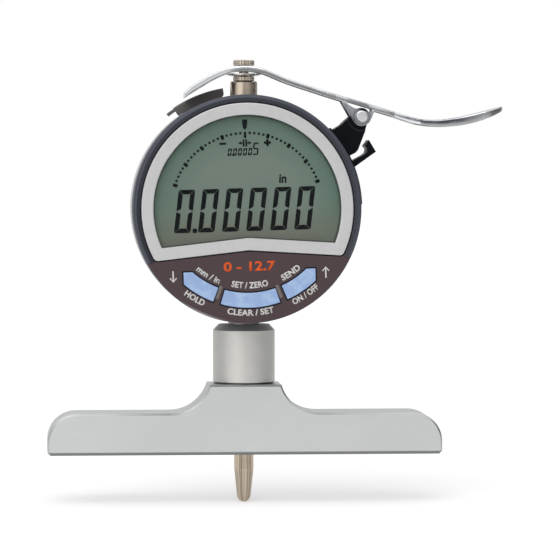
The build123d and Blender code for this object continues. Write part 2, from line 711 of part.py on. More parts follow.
def lever_plan(grow):
    """The lever seen from above, grown or shrunk all round."""
    tip = lever_top_points()[0][0] - grow
    near, far = LEVER_SPREAD + grow, PAD_SPREAD + grow
    end_x = PAD_END_X - PAD_SPREAD
    shape = Polygon((tip, -near), (LEVER_WAIST_X, -near), (PAD_START_X, -far), (end_x, -far), (end_x, far),
                    (PAD_START_X, far), (LEVER_WAIST_X, near), (tip, near), align=None)
    return shape + Pos(end_x, 0) * Circle(far)


def lever_solid(depth_of, grow, drop=0.0):
    side = prism_y(lever_side(depth_of), -PAD_SPREAD - THROUGH, PAD_SPREAD + THROUGH, 0, -drop)
    deep = LEVER_RISE + PIVOT_X
    plan = extrude(Pos(0, 0, -deep) * lever_plan(grow), amount=2 * deep, dir=(0, 0, 1))
    return side & plan


def lever_bent_edges(body):
    """The long top edges, where the real sheet is bent down."""
    outer = [e for e in body.edges() if e.length > LEVER_SPREAD and abs(e.center().Y) > LEVER_SPREAD - FIT]
    return [e for e in outer if e.center().Z > lever_top_z(e.center().X)]


def lever_top_z(x):
    """A height between the lever's top line and the foot of its rim."""
    points = lever_top_points()
    for (x0, z0), (x1, z1) in zip(points, points[1:]):
        if x0 <= x <= x1:
            return z0 + (z1 - z0) * (x - x0) / (x1 - x0) - LEVER_WEB / 2
    return points[-1][1] - LEVER_WEB / 2


def lever_ear():
    web = Polygon((-5.3, 4.3), (-2.3, -1.0), (2.3, -1.0), (3.6, 1.9), align=None)
    window = Polygon((-3.8, 3.9), (2.7, 1.95), (2.7, 1.0), (0.3, 1.45), (-2.2, 2.25), (-3.7, 3.2), align=None)
    return web + Circle(EAR_R) - window - Circle(PIN_R + FIT)


def lifting_lever():
    body = lever_solid(lever_rim_depth, 0)
    body = fillet(lever_bent_edges(body), LEVER_BEND_R)
    body -= lever_solid(lambda x: 2 * LEVER_RISE, -LEVER_WEB, LEVER_WEB)
    inner = LEVER_SPREAD - LEVER_WEB
    side_gap = Polygon((-3.8, 3.9), (2.7, 1.95), (2.7, 0.0), (-3.7, 0.0), align=None)
    body -= prism_y(side_gap, -LEVER_SPREAD - THROUGH, LEVER_SPREAD + THROUGH)
    for front in (-LEVER_SPREAD, inner):
        body += prism_y(lever_ear(), front, front + LEVER_WEB)
    slot = Pos(SLOT_START_X - SLOT_LENGTH / 2, 0) * SlotOverall(SLOT_LENGTH, 2 * SLOT_HALF_WIDTH)
    body -= extrude(slot, amount=2 * LEVER_RISE, dir=(0, 0, 1))
    return Pos(PIVOT_X, 0, PIVOT_Z) * body


def lever_pin():
    outer = LEVER_SPREAD
    body = rod_y(PIN_R, -outer, outer, PIVOT_X, PIVOT_Z)
    for front in (-outer - PIN_HEAD, outer):
        head = rod_y(PIN_HEAD_R, front, front + PIN_HEAD, PIVOT_X, PIVOT_Z)
        rim = [e for e in head.edges() if abs(e.center().Y) > outer + FIT]
        body += fillet(rim, PIN_DOME_R)
    return body


def bracket_arm():
    """The moulded arm, from the case rim to the pivot, measured from the pivot."""
    return Polygon((-9.2, -4.8), (-7.9, -3.8), (-5.4, -2.3), (-3.1, -0.1), (0, 0), (1.4, -2.2),
                   (1.0, -3.6), (-0.9, -8.6), (-1.6, -9.4), (-3.2, -10.2), (-5.4, -11.6), align=None)


def bracket_hook():
    """The small hooked finger below the arm, measured from the pivot."""
    return Polygon((-3.6, -12.2), (-1.9, -13.1), (3.7, -9.1), (1.9, -6.1), (0.8, -7.55), (1.45, -8.4),
                   (1.3, -9.3), (0.6, -9.9), (-2.0, -11.3), align=None)


def lever_bracket():
    spread = LEVER_SPREAD
    flat = Pos(PIVOT_X, PIVOT_Z - HEAD_Z) * (bracket_arm() + bracket_hook())
    rim = CASE_R + FIT
    saddle = ring_sector(rim, rim + SADDLE_THICKNESS, SADDLE_START, SADDLE_END)
    body = head_prism((flat - Circle(rim)) + saddle, -spread, spread)
    narrow = LEVER_SPREAD - LEVER_WEB - LUG_SIDE_GAP
    wide = spread + THROUGH
    recess = rod_y(LUG_RECESS_R, -wide, wide, PIVOT_X, PIVOT_Z)
    recess -= rod_y(LUG_RECESS_R + THROUGH, -narrow, narrow, PIVOT_X, PIVOT_Z)
    body -= recess
    body += rod_y(LUG_R, -narrow, narrow, PIVOT_X, PIVOT_Z)
    body -= rod_y(PIN_R + RUN, -wide, wide, PIVOT_X, PIVOT_Z)
    top = HEAD_Z + rim + SADDLE_THICKNESS
    for clock in BRACKET_SCREW_CLOCKS:
        hole = rod_z(SCREW_R + FIT, HEAD_Z + rim - THROUGH, top + THROUGH)
        sink = rod_z(SCREW_HEAD_R + FIT, top - SCREW_HEAD, top + THROUGH)
        body -= at_clock(hole + sink, clock)
    return body


def bracket_screws():
    seat = HEAD_Z + CASE_R + FIT + SADDLE_THICKNESS - SCREW_HEAD
    pieces = []
    for clock in BRACKET_SCREW_CLOCKS:
        shank = rod_z(SCREW_R, HEAD_Z + CASE_INNER_R - SEAT, seat)
        head = rod_z(SCREW_HEAD_R, seat, seat + SCREW_HEAD * 0.7)
        pieces.append(at_clock(shank + head, clock))
    return pieces


# Fixed case and its cover

def port_block(half_width, front, rear, floor, top):
    return at_clock(block(-half_width, half_width, front, rear, HEAD_Z + floor, HEAD_Z + top), PORT_CLOCK)


def battery_post():
    """The ring that holds the battery, standing on the case's front wall."""
    foot = CASE_INNER_Y - POST_SUNK
    ring = rod_y(HOLDER_OUTER_R, foot, CASE_REAR_Y - 2 * BATTERY_SUNK, BATTERY_X, BATTERY_Z)
    front = BATTERY_FRONT_Y - CONTACT_SHEET - FIT
    ring -= rod_y(HOLDER_R, front, CASE_REAR_Y, BATTERY_X, BATTERY_Z)
    return ring - rod_y(HOLDER_R, foot - THROUGH, front - HOLDER_FLOOR, BATTERY_X, BATTERY_Z)


def case_shell():
    inner_neck = NECK_R - NECK_WALL
    return head_turned([
        (0, NECK_FRONT_Y), (NECK_R, NECK_FRONT_Y), (NECK_R, CASE_STEP_Y), (CASE_R - CASE_EDGE, CASE_STEP_Y),
        (CASE_R, CASE_STEP_Y + CASE_EDGE), (CASE_R, CASE_REAR_Y), (CASE_INNER_R, CASE_REAR_Y),
        (CASE_INNER_R, CASE_STEP_Y + CASE_WALL), (inner_neck, CASE_STEP_Y + CASE_WALL),
        (inner_neck, CASE_INNER_Y), (0, CASE_INNER_Y),
    ])


def retaining_groove(radius_low, radius_high):
    front = RETAINING_Y - SEAT
    rear = RETAINING_Y + RETAINING_THICKNESS + SEAT
    return head_turned([(radius_low, front), (radius_high, front), (radius_high, rear), (radius_low, rear)])


def case_body():
    body = case_shell()
    stop = ring_sector(NECK_R - STOP_REACH / 2, NECK_R + STOP_REACH, 180 - STOP_HALF, 180 + STOP_HALF)
    body += head_prism(stop, NECK_FRONT_Y, NECK_FRONT_Y + STOP_THICKNESS)
    body -= retaining_groove(NECK_R - RING_GRIP - 2 * SEAT, NECK_R + THROUGH)
    sunk = POST_SUNK
    room = head_turned([
        (0, CASE_INNER_Y - sunk), (NECK_R - NECK_WALL + sunk, CASE_INNER_Y - sunk),
        (NECK_R - NECK_WALL + sunk, CASE_STEP_Y + CASE_WALL - sunk),
        (CASE_INNER_R + sunk, CASE_STEP_Y + CASE_WALL - sunk), (CASE_INNER_R + sunk, CASE_REAR_Y),
        (0, CASE_REAR_Y),
    ])
    inner = rod_z(LOWER_BOSS_R, HEAD_Z - CASE_R, LOWER_BOSS_TOP)
    inner += rod_z(UPPER_BOSS_R, UPPER_BOSS_FOOT, HEAD_Z + CASE_R)
    inner += port_block(PORT_HALF_WIDTH + PORT_WALL, PORT_FRONT_Y - PORT_WALL, CASE_REAR_Y,
                        PORT_FLOOR_R - PORT_WALL, CASE_R)
    for clock in CASE_POST_CLOCKS:
        x, z = head_point(POST_RADIUS, clock)
        inner += rod_y(POST_R, CASE_INNER_Y - sunk, CASE_REAR_Y, x, z)
    inner += battery_post()
    for x, z in BOARD_POSTS:
        inner += rod_y(BOARD_POST_R, CASE_INNER_Y - sunk, MAIN_BOARD_Y, x, HEAD_Z + z)
    body += inner & room
    body -= rod_z(STEM_R + FIT, HEAD_Z - CASE_R - THROUGH, LOWER_BOSS_TOP + THROUGH)
    body -= rod_z(SLEEVE_R + FIT, UPPER_BOSS_FOOT - THROUGH, HEAD_Z + CASE_R + THROUGH)
    body -= port_block(PORT_HALF_WIDTH, PORT_FRONT_Y, PORT_REAR_Y, PORT_FLOOR_R, CASE_R + THROUGH)
    body -= rod_y(CABLE_HOLE_R, NECK_FRONT_Y - THROUGH, CASE_INNER_Y + SEAT, 0, HEAD_Z)
    for clock in CASE_POST_CLOCKS:
        x, z = head_point(POST_RADIUS, clock)
        body -= rod_y(SCREW_R + FIT, CASE_REAR_Y - CASE_SCREW_LENGTH - SEAT, CASE_REAR_Y + THROUGH, x, z)
    for x, z in BOARD_POSTS:
        tip = MAIN_BOARD_Y - BOARD_SCREW_LENGTH - SEAT
        body -= rod_y(SCREW_R + FIT, tip, MAIN_BOARD_Y + THROUGH, x, HEAD_Z + z)
    for clock in BRACKET_SCREW_CLOCKS:
        hole = rod_z(SCREW_R + FIT, HEAD_Z + CASE_INNER_R - THROUGH, HEAD_Z + CASE_R + THROUGH)
        body -= at_clock(hole, clock)
    for z in RAIL_SCREW_HEIGHTS:
        body -= rod_y(SCREW_R + FIT, CASE_INNER_Y - THROUGH, CASE_INNER_Y + THROUGH, RAIL_MIDDLE_X, z)
    post = SPRING_POST_R + FIT
    body -= rod_y(post, CASE_INNER_Y - THROUGH, CASE_INNER_Y + THROUGH, SPRING_X, SPRING_POST_Z)
    return body


def case_back():
    edge = BACK_EDGE
    body = head_turned([
        (0, CASE_REAR_Y), (CASE_R, CASE_REAR_Y), (CASE_R, BACK_REAR_Y - edge),
        (CASE_R - edge * 0.3, BACK_REAR_Y - edge * 0.3), (CASE_R - edge, BACK_REAR_Y), (0, BACK_REAR_Y),
    ])
    for clock in CASE_POST_CLOCKS:
        x, z = head_point(POST_RADIUS, clock)
        body -= rod_y(SCREW_R + FIT, CASE_REAR_Y - THROUGH, BACK_REAR_Y + THROUGH, x, z)
        body -= rod_y(SCREW_HEAD_R + SEAT, BACK_REAR_Y - SCREW_HEAD, BACK_REAR_Y + THROUGH, x, z)
    rear = BACK_REAR_Y + THROUGH
    body -= rod_y(HOLDER_R, CASE_REAR_Y - THROUGH, rear, BATTERY_X, BATTERY_Z)
    body -= prism_y(lid_outline(SEAT), BACK_REAR_Y - LID_THICKNESS, rear, BATTERY_X, BATTERY_Z)
    for side in (-1, 1):
        body -= rod_y(SMALL_SCREW_R + FIT, CASE_REAR_Y - THROUGH, rear, *lid_screw_place(side))
    return body


def case_screws():
    places = [head_point(POST_RADIUS, clock) for clock in CASE_POST_CLOCKS]
    seat = BACK_REAR_Y - SCREW_HEAD
    return [screw_y(x, z, CASE_REAR_Y - CASE_SCREW_LENGTH, seat, head=SCREW_HEAD * 0.8) for x, z in places]


def lid_screw_place(side):
    angle = math.radians(LID_EAR_CLOCK)
    reach = side * LID_EAR_REACH
    return BATTERY_X + reach * math.cos(angle), BATTERY_Z + reach * math.sin(angle)


def lid_outline(grow=0.0):
    shape = Circle(LID_R + grow)
    for side in (-1, 1):
        x, z = lid_screw_place(side)
        shape += Pos(x - BATTERY_X, z - BATTERY_Z) * Circle(LID_EAR_R + grow)
    return shape


def battery_lid():
    body = prism_y(lid_outline(), BACK_REAR_Y - LID_THICKNESS, BACK_REAR_Y, BATTERY_X, BATTERY_Z)
    body -= Pos(BATTERY_X, BACK_REAR_Y, BATTERY_Z) * Box(*LID_SLOT)
    rear = BACK_REAR_Y + THROUGH
    for side in (-1, 1):
        x, z = lid_screw_place(side)
        body -= rod_y(SMALL_SCREW_R + FIT, CASE_REAR_Y - THROUGH, rear, x, z)
        body -= rod_y(LID_SCREW_HEAD_R + FIT, BACK_REAR_Y - LID_SCREW_SUNK, rear, x, z)
    return body


def lid_screws():
    tip = CASE_REAR_Y
    seat = BACK_REAR_Y - LID_SCREW_SUNK
    places = [lid_screw_place(side) for side in (-1, 1)]
    return [screw_y(x, z, tip, seat, LID_SCREW_HEAD_R, LID_SCREW_HEAD, SMALL_SCREW_R) for x, z in places]


def battery():
    front, rear = BATTERY_FRONT_Y, BATTERY_REAR_Y
    body = rod_y(BATTERY_R - BATTERY_RIM, front, rear, BATTERY_X, BATTERY_Z)
    return body + rod_y(BATTERY_R, front + BATTERY_STEP, rear, BATTERY_X, BATTERY_Z)


def battery_contact_front():
    rear = BATTERY_FRONT_Y - FIT
    front = rear - CONTACT_SHEET + FIT
    body = rod_y(FRONT_SHEET_R, front, rear, BATTERY_X, BATTERY_Z)
    low, high = BATTERY_Z - FRONT_SHEET_TAIL, BATTERY_Z + FRONT_SHEET_TAIL
    return body + block(BATTERY_X, BATTERY_X + HOLDER_R - FIT, front, rear, low, high)


def battery_contact_rear():
    """The spring sheet under the lid, bent down beside the battery."""
    lid_front = BACK_REAR_Y - LID_THICKNESS
    front = lid_front - CONTACT_SHEET
    body = rod_y(REAR_SHEET_R, front, lid_front, BATTERY_X, BATTERY_Z)
    dimple = rod_y(REAR_DIMPLE_R, BATTERY_REAR_Y + FIT, front, BATTERY_X, BATTERY_Z)
    return body + dimple


# Data port

def data_connector():
    """The contact block at the port's floor, with five flat contacts."""
    foot = HEAD_Z + PORT_FLOOR_R + FIT
    top = foot + CONNECTOR_HEIGHT
    half = PORT_HALF_WIDTH - CONNECTOR_GAP
    body = block(-half, half, PORT_FRONT_Y + CONNECTOR_GAP, PORT_REAR_Y - CONNECTOR_GAP, foot, top)
    front, rear = PORT_FRONT_Y + CONTACT_WIDTH, PORT_REAR_Y - CONTACT_WIDTH
    for index in (-2, -1, 0, 1, 2):
        x = index * CONTACT_PITCH
        body += block(x - CONTACT_WIDTH / 2, x + CONTACT_WIDTH / 2, front, rear,
                      top - CONTACT_PROUD, top + CONTACT_PROUD)
    return at_clock(body, PORT_CLOCK)


def cover_pivot():
    return head_point(COVER_R - COVER_END_R, COVER_HINGE)


def data_port_cover():
    rim = CASE_R + SEAT
    tab_top = COVER_R - COVER_TAB_DROP
    shape = ring_sector(rim, COVER_R, COVER_HINGE, COVER_END)
    shape += ring_sector(tab_top - COVER_TAB, tab_top, COVER_END + 1, COVER_TAB_END)
    upper = ring_sector(COVER_R - COVER_END_R, COVER_R, COVER_START, COVER_HINGE)
    x, z = cover_pivot()
    end = Pos(x, z - HEAD_Z) * Circle(COVER_END_R - FIT)
    body = head_prism(shape + upper + end, COVER_FRONT_Y, COVER_REAR_Y)
    middle_y = (COVER_FRONT_Y + COVER_REAR_Y) / 2
    long_top = [e for e in body.edges()
                if abs(e.center().Y - middle_y) > middle_y - COVER_FRONT_Y - FIT
                and math.hypot(e.center().X, e.center().Z - HEAD_Z) > tab_top - SMALL_EDGE
                and e.length > PORT_HALF_WIDTH]
    body = fillet(long_top, COVER_EDGE_R)
    half = PORT_HALF_WIDTH - COVER_LIP_INSET
    lip = block(-half, half, PORT_FRONT_Y + CONNECTOR_GAP, PORT_REAR_Y - CONNECTOR_GAP,
                HEAD_Z + CASE_R - COVER_LIP, HEAD_Z + CASE_R + COVER_LIP)
    return body + at_clock(lip, PORT_CLOCK)


# Rotating face

def key_sketch(side, grow=0.0):
    """A key's outline: side is -1, 0 or 1 for left, centre and right."""
    turn = math.degrees(grow / KEY_OUTER_R)
    inner, outer = KEY_INNER_R - grow, KEY_OUTER_R + grow
    if side == 0:
        half = KEY_CENTRE_HALF + turn
        return ring_sector(inner, outer, 180 - half, 180 + half)
    start = KEY_SIDE_START - turn
    shape = ring_sector(inner, outer, 180 - start, 180 - KEY_SIDE_END)
    limit = Polygon((0, KEY_SIDE_Z + grow), (KEY_SIDE_X + grow, KEY_SIDE_Z + grow),
                    (KEY_SIDE_X + grow, -outer - THROUGH), (0, -outer - THROUGH), align=None)
    shape = shape & limit
    return shape if side > 0 else mirror(shape, Plane.YZ)


def key(side):
    cap = head_prism(key_sketch(side), PANEL_Y - KEY_PROUD, PANEL_REAR_Y + KEY_MAT_GAP)
    front = cap.edges().filter_by(lambda e: abs(e.center().Y - (PANEL_Y - KEY_PROUD)) < 1e-6)
    cap = fillet(front, KEY_EDGE_R)
    back = PANEL_REAR_Y + KEY_MAT_GAP
    flange = head_prism(key_sketch(side, KEY_FLANGE), back, back + KEY_FLANGE_THICKNESS)
    return tilt_face(cap + flange)


def tilt_face(piece):
    """The face stands a little turned on the case, as it was left."""
    return piece.rotate(HEAD_AXIS, FACE_TILT)


def ring_profile():
    """The face ring's section: panel, sloping inner side, crest, rounded edge and skirt."""
    edge = RING_EDGE_R
    slope_foot = FRAME_R + FRAME_GROOVE - SEAT
    crest = BEZEL_R - RING_CREST_WIDTH
    corner = crest + RING_CREST_WIDTH * SEAT
    bend = 1 - math.sqrt(0.5)
    mid = (RING_FRONT_Y + edge * bend, BEZEL_R - (BEZEL_R - corner) * bend)
    places = [(PANEL_Y, 0), (PANEL_Y, slope_foot), (RING_FRONT_Y, crest), (RING_FRONT_Y, corner),
              (RING_FRONT_Y + edge, BEZEL_R), (SKIRT_REAR_Y, BEZEL_R), (SKIRT_REAR_Y, SKIRT_INNER_R),
              (PANEL_REAR_Y, SKIRT_INNER_R), (PANEL_REAR_Y, 0)]
    points = [(0, y, HEAD_Z + r) for y, r in places]
    lines = [Line(a, b) for a, b in zip(points, points[1:] + points[:1])]
    lines[3] = ThreePointArc(points[3], (0, mid[0], HEAD_Z + mid[1]), points[4])
    return make_face(lines)


def below_display():
    """The part of the face under the display's roof line, where the panel runs out to the edge."""
    return Circle(BEZEL_R + THROUGH) - d_outline(BEZEL_R + 2 * THROUGH, FRAME_APEX - FRAME_GROOVE)


def bezel():
    body = revolve(ring_profile(), HEAD_AXIS)
    body -= head_prism(below_display(), RING_FRONT_Y - THROUGH, PANEL_Y)
    groove = FRAME_GROOVE
    body -= head_prism(d_outline(FRAME_R + groove, FRAME_APEX - groove, FRAME_CORNER_R + groove),
                       RING_FRONT_Y - THROUGH, PANEL_REAR_Y)
    stop = ring_sector(SKIRT_INNER_R - STOP_REACH, SKIRT_INNER_R + STOP_REACH / 2, -STOP_HALF, STOP_HALF)
    body += head_prism(stop, NECK_FRONT_Y, NECK_FRONT_Y + STOP_THICKNESS)
    body -= retaining_groove(SKIRT_INNER_R - STOP_REACH, SKIRT_INNER_R + RING_GRIP)
    for clock in FACE_BOSS_CLOCKS:
        x, z = head_point(FACE_BOSS_RADIUS, clock)
        body += rod_y(FACE_BOSS_R, LCD_REAR_Y + SEAT, FACE_BACK_Y, x, z)
        body -= rod_y(SMALL_SCREW_R + FIT, LCD_REAR_Y + 3 * SEAT, FACE_BACK_Y + THROUGH, x, z)
    for side in (-1, 0, 1):
        body -= head_prism(key_sketch(side, KEY_GAP), PANEL_Y - THROUGH, PANEL_REAR_Y + THROUGH)
    return tilt_face(body)


def display_frame():
    front = PANEL_REAR_Y - FRAME_DEPTH
    body = head_prism(d_outline(FRAME_R, FRAME_APEX, FRAME_CORNER_R), front, PANEL_REAR_Y)
    body -= head_prism(d_outline(WINDOW_R, WINDOW_APEX), front - THROUGH, PANEL_REAR_Y + THROUGH)
    rebate = d_outline(WINDOW_R + LENS_LIP, WINDOW_APEX - LENS_LIP)
    body -= head_prism(rebate, LENS_FRONT_Y, PANEL_REAR_Y + THROUGH)
    outer = [e for e in body.edges() if abs(e.center().Y - front) < FIT / 2 and e.length > FRAME_R]
    body = fillet(outer, FRAME_EDGE_R)
    return tilt_face(body)


def display_lens():
    lip = LENS_LIP - FIT
    shape = d_outline(WINDOW_R + lip, WINDOW_APEX - lip)
    return tilt_face(head_prism(shape, LENS_FRONT_Y + FIT, LENS_REAR_Y))


def lcd_panel():
    """The liquid crystal cell: two glass plates with a ledge at the lower edge."""
    radius, apex = WINDOW_R + LCD_MARGIN, WINDOW_APEX - LCD_MARGIN
    shape = d_outline(radius, apex)
    back = d_outline(radius, apex + LCD_LEDGE)
    body = head_prism(shape, LCD_FRONT_Y, LCD_FRONT_Y + LCD_THICKNESS / 2)
    return tilt_face(body + head_prism(back, LCD_FRONT_Y, LCD_REAR_Y))


def lcd_holder():
    radius, apex = WINDOW_R + LCD_MARGIN, WINDOW_APEX - LCD_MARGIN
    inner = d_outline(radius + FIT, apex - FIT)
    outer = d_outline(radius + HOLDER_WALL, apex - HOLDER_WALL)
    return tilt_face(head_prism(outer - inner, LCD_FRONT_Y, LCD_REAR_Y))


def zebra_strip(half_width, foot):
    """An elastomer connector pressed between the cell and the board."""
    low, high = HEAD_Z + foot, HEAD_Z + foot + ZEBRA_HEIGHT
    body = block(-half_width, half_width, LCD_REAR_Y, DISPLAY_BOARD_Y, low, high)
    return tilt_face(body)


def face_disc(radius, front, rear):
    """A disc in the rotating face, cut round the three screw bosses."""
    body = rod_y(radius, front, rear, 0, HEAD_Z)
    for clock in FACE_BOSS_CLOCKS:
        x, z = head_point(FACE_BOSS_RADIUS, clock)
        body -= rod_y(FACE_BOSS_R + DISC_GAP, front - THROUGH, rear + THROUGH, x, z)
    return body


def display_board():
    front = DISPLAY_BOARD_Y
    body = face_disc(SKIRT_INNER_R - DISC_GAP, front, front + BOARD_THICKNESS)
    foot = HEAD_Z + CHIP_FOOT
    chip = block(-CHIP_SIDE / 2, CHIP_SIDE / 2, front - CHIP_HEIGHT, front + SEAT, foot, foot + CHIP_SIDE)
    return tilt_face(body + chip)


def key_mat():
    """The rubber mat under the keys, with a pad behind each."""
    rear = DISPLAY_BOARD_Y
    front = PANEL_REAR_Y + KEY_MAT_GAP + KEY_FLANGE_THICKNESS + KEY_TRAVEL + SEAT
    sheet = ring_sector(KEY_INNER_R - KEY_MAT_MARGIN, KEY_OUTER_R + KEY_FLANGE,
                        180 - KEY_MAT_HALF, 180 + KEY_MAT_HALF)
    body = head_prism(sheet, rear - KEY_MAT_THICKNESS, rear)
    for angle in (-KEY_PAD_CLOCK, 0.0, KEY_PAD_CLOCK):
        x, z = head_point((KEY_INNER_R + KEY_OUTER_R) / 2, 180 + angle)
        body += rod_y(KEY_PAD_R, front, rear - KEY_MAT_THICKNESS / 2, x, z)
    return tilt_face(body)


def face_back():
    rear = FACE_BACK_Y + FACE_BACK_THICKNESS
    body = rod_y(SKIRT_INNER_R - DISC_GAP, FACE_BACK_Y, rear, 0, HEAD_Z)
    body -= rod_y(CABLE_HOLE_R, FACE_BACK_Y - THROUGH, rear + THROUGH, 0, HEAD_Z)
    for clock in FACE_BOSS_CLOCKS:
        x, z = head_point(FACE_BOSS_RADIUS, clock)
        body -= rod_y(SMALL_SCREW_R + FIT, FACE_BACK_Y - THROUGH, rear + THROUGH, x, z)
        body -= rod_y(SMALL_HEAD_R + FIT, rear - SMALL_HEAD - SEAT, rear + THROUGH, x, z)
    return tilt_face(body)


def face_screws():
    rear = FACE_BACK_Y + FACE_BACK_THICKNESS
    pieces = []
    for clock in FACE_BOSS_CLOCKS:
        x, z = head_point(FACE_BOSS_RADIUS, clock)
        seat = rear - SMALL_HEAD - SEAT
        screw = screw_y(x, z, LCD_REAR_Y + 5 * SEAT, seat, SMALL_HEAD_R, SMALL_HEAD, SMALL_SCREW_R)
        pieces.append(tilt_face(screw))
    return pieces


def retaining_ring():
    """The split ring that holds the face on the case and lets it turn."""
    slit = RETAINING_SLIT / 2
    ring = ring_sector(NECK_R - RING_GRIP, SKIRT_INNER_R + RING_GRIP - SEAT, slit, 360 - slit)
    return tilt_face(head_prism(ring, RETAINING_Y, RETAINING_Y + RETAINING_THICKNESS))


# Measuring works inside the case

def scale_carrier():
    """The block clamped on the spindle, with an ear for the spring."""
    foot, top = CARRIER_FOOT_Z, CARRIER_TOP_Z
    half = CARRIER_HALF_WIDTH
    body = block(-half, half, CARRIER_FRONT_Y, CARRIER_REAR_Y, foot, top)
    body = fillet(body.edges().filter_by(Axis.Z), CARRIER_EDGE_R)
    ear_end = SPRING_X + SPRING_R + EAR_MARGIN
    body += block(half - THROUGH, ear_end, CARRIER_FRONT_Y, SPRING_Y + SPRING_POST_SPARE, EAR_FOOT_Z, top)
    body -= rod_z(SPINDLE_R + FIT, foot - THROUGH, top + THROUGH)
    body -= rod_y(SCREW_R + FIT, CARRIER_FRONT_Y - THROUGH, -SPINDLE_R, 0, CARRIER_SCREW_Z)
    pin = Rot(0, 90, 0) * Cylinder(GUIDE_PIN_R + FIT, half)
    return body - Pos(-half, 0, GUIDE_PIN_Z) * pin


def carrier_screw():
    seat = CARRIER_FRONT_Y
    body = rod_y(SCREW_R, seat, -SPINDLE_R - FIT, 0, CARRIER_SCREW_Z)
    return body + rod_y(SCREW_HEAD_R, seat - SCREW_HEAD, seat, 0, CARRIER_SCREW_Z)


def guide_pin():
    """A pin in the carrier's left side that runs in the rail's slot."""
    inner = -CARRIER_HALF_WIDTH / 2 - FIT
    outer = RAIL_OUTER_X + GUIDE_PIN_SHORT
    return Pos((inner + outer) / 2, 0, GUIDE_PIN_Z) * Rot(0, 90, 0) * Cylinder(GUIDE_PIN_R, inner - outer)


def guide_rail():
    body = block(RAIL_OUTER_X, RAIL_INNER_X, CASE_INNER_Y, RAIL_REAR_Y, RAIL_FOOT_Z, RAIL_TOP_Z)
    half = GUIDE_PIN_R + RUN
    low = GUIDE_PIN_Z - GUIDE_PIN_R - RAIL_SLOT_SPARE
    high = GUIDE_PIN_Z + STROKE + STROKE_SPARE + GUIDE_PIN_R + RAIL_SLOT_SPARE
    body -= block(RAIL_OUTER_X - THROUGH, RAIL_INNER_X + THROUGH, -half, half, low, high)
    for z in RAIL_SCREW_HEIGHTS:
        body -= rod_y(SCREW_R + FIT, CASE_INNER_Y - THROUGH, RAIL_REAR_Y + THROUGH, RAIL_MIDDLE_X, z)
    return body


def rail_screws():
    tip = CASE_INNER_Y - THROUGH + SEAT
    return [screw_y(RAIL_MIDDLE_X, z, tip, RAIL_REAR_Y, RAIL_SCREW_HEAD_R) for z in RAIL_SCREW_HEIGHTS]


def main_scale():
    half = SCALE_HALF_WIDTH
    return block(-half, half, CARRIER_REAR_Y, SCALE_REAR_Y, SCALE_FOOT_Z, SCALE_FOOT_Z + SCALE_LENGTH)


def detector():
    half = DETECTOR_HALF_WIDTH
    return block(-half, half, DETECTOR_Y, MAIN_BOARD_Y, DETECTOR_FOOT_Z, DETECTOR_FOOT_Z + DETECTOR_HEIGHT)


def main_board():
    """The case's circuit board, cut round the battery's ring."""
    rear = MAIN_BOARD_Y + BOARD_THICKNESS
    foot, top = HEAD_Z + MAIN_BOARD_FOOT, HEAD_Z + MAIN_BOARD_TOP
    clear = HOLDER_OUTER_R + MAIN_BOARD_GAP
    body = block(MAIN_BOARD_LEFT, MAIN_BOARD_RIGHT, MAIN_BOARD_Y, rear, foot, top)
    front, end = MAIN_BOARD_Y - THROUGH, rear + THROUGH
    body -= rod_y(clear, front, end, BATTERY_X, BATTERY_Z)
    body -= block(MAIN_BOARD_LEFT - THROUGH, BATTERY_X + clear, front, end, foot - THROUGH, BATTERY_Z)
    for x, z in BOARD_POSTS:
        body -= rod_y(SCREW_R + FIT, front, end, x, HEAD_Z + z)
    return body


def board_screws():
    seat = MAIN_BOARD_Y + BOARD_THICKNESS
    tip = MAIN_BOARD_Y - BOARD_SCREW_LENGTH
    return [screw_y(x, HEAD_Z + z, tip, seat, BOARD_SCREW_HEAD_R) for x, z in BOARD_POSTS]


def spring_post():
    tip = CASE_INNER_Y - THROUGH + SEAT
    return rod_y(SPRING_POST_R, tip, SPRING_Y + SPRING_POST_SPARE, SPRING_X, SPRING_POST_Z)


def return_spring():
    """A closely wound extension spring, its coils touching at rest."""
    pitch = (SPRING_TOP_Z - SPRING_FOOT_Z) / SPRING_COILS
    wire = pitch / 2
    core, waist = SPRING_R - 1.6 * wire, SPRING_R - 0.4 * wire
    points = [(core, SPRING_FOOT_Z)]
    for index in range(SPRING_COILS):
        low = SPRING_FOOT_Z + index * pitch
        points += [(waist, low), (SPRING_R, low + pitch * 0.3), (SPRING_R, low + pitch * 0.7)]
    points += [(waist, SPRING_TOP_Z), (core, SPRING_TOP_Z)]
    return Pos(SPRING_X, SPRING_Y, 0) * turned(points)


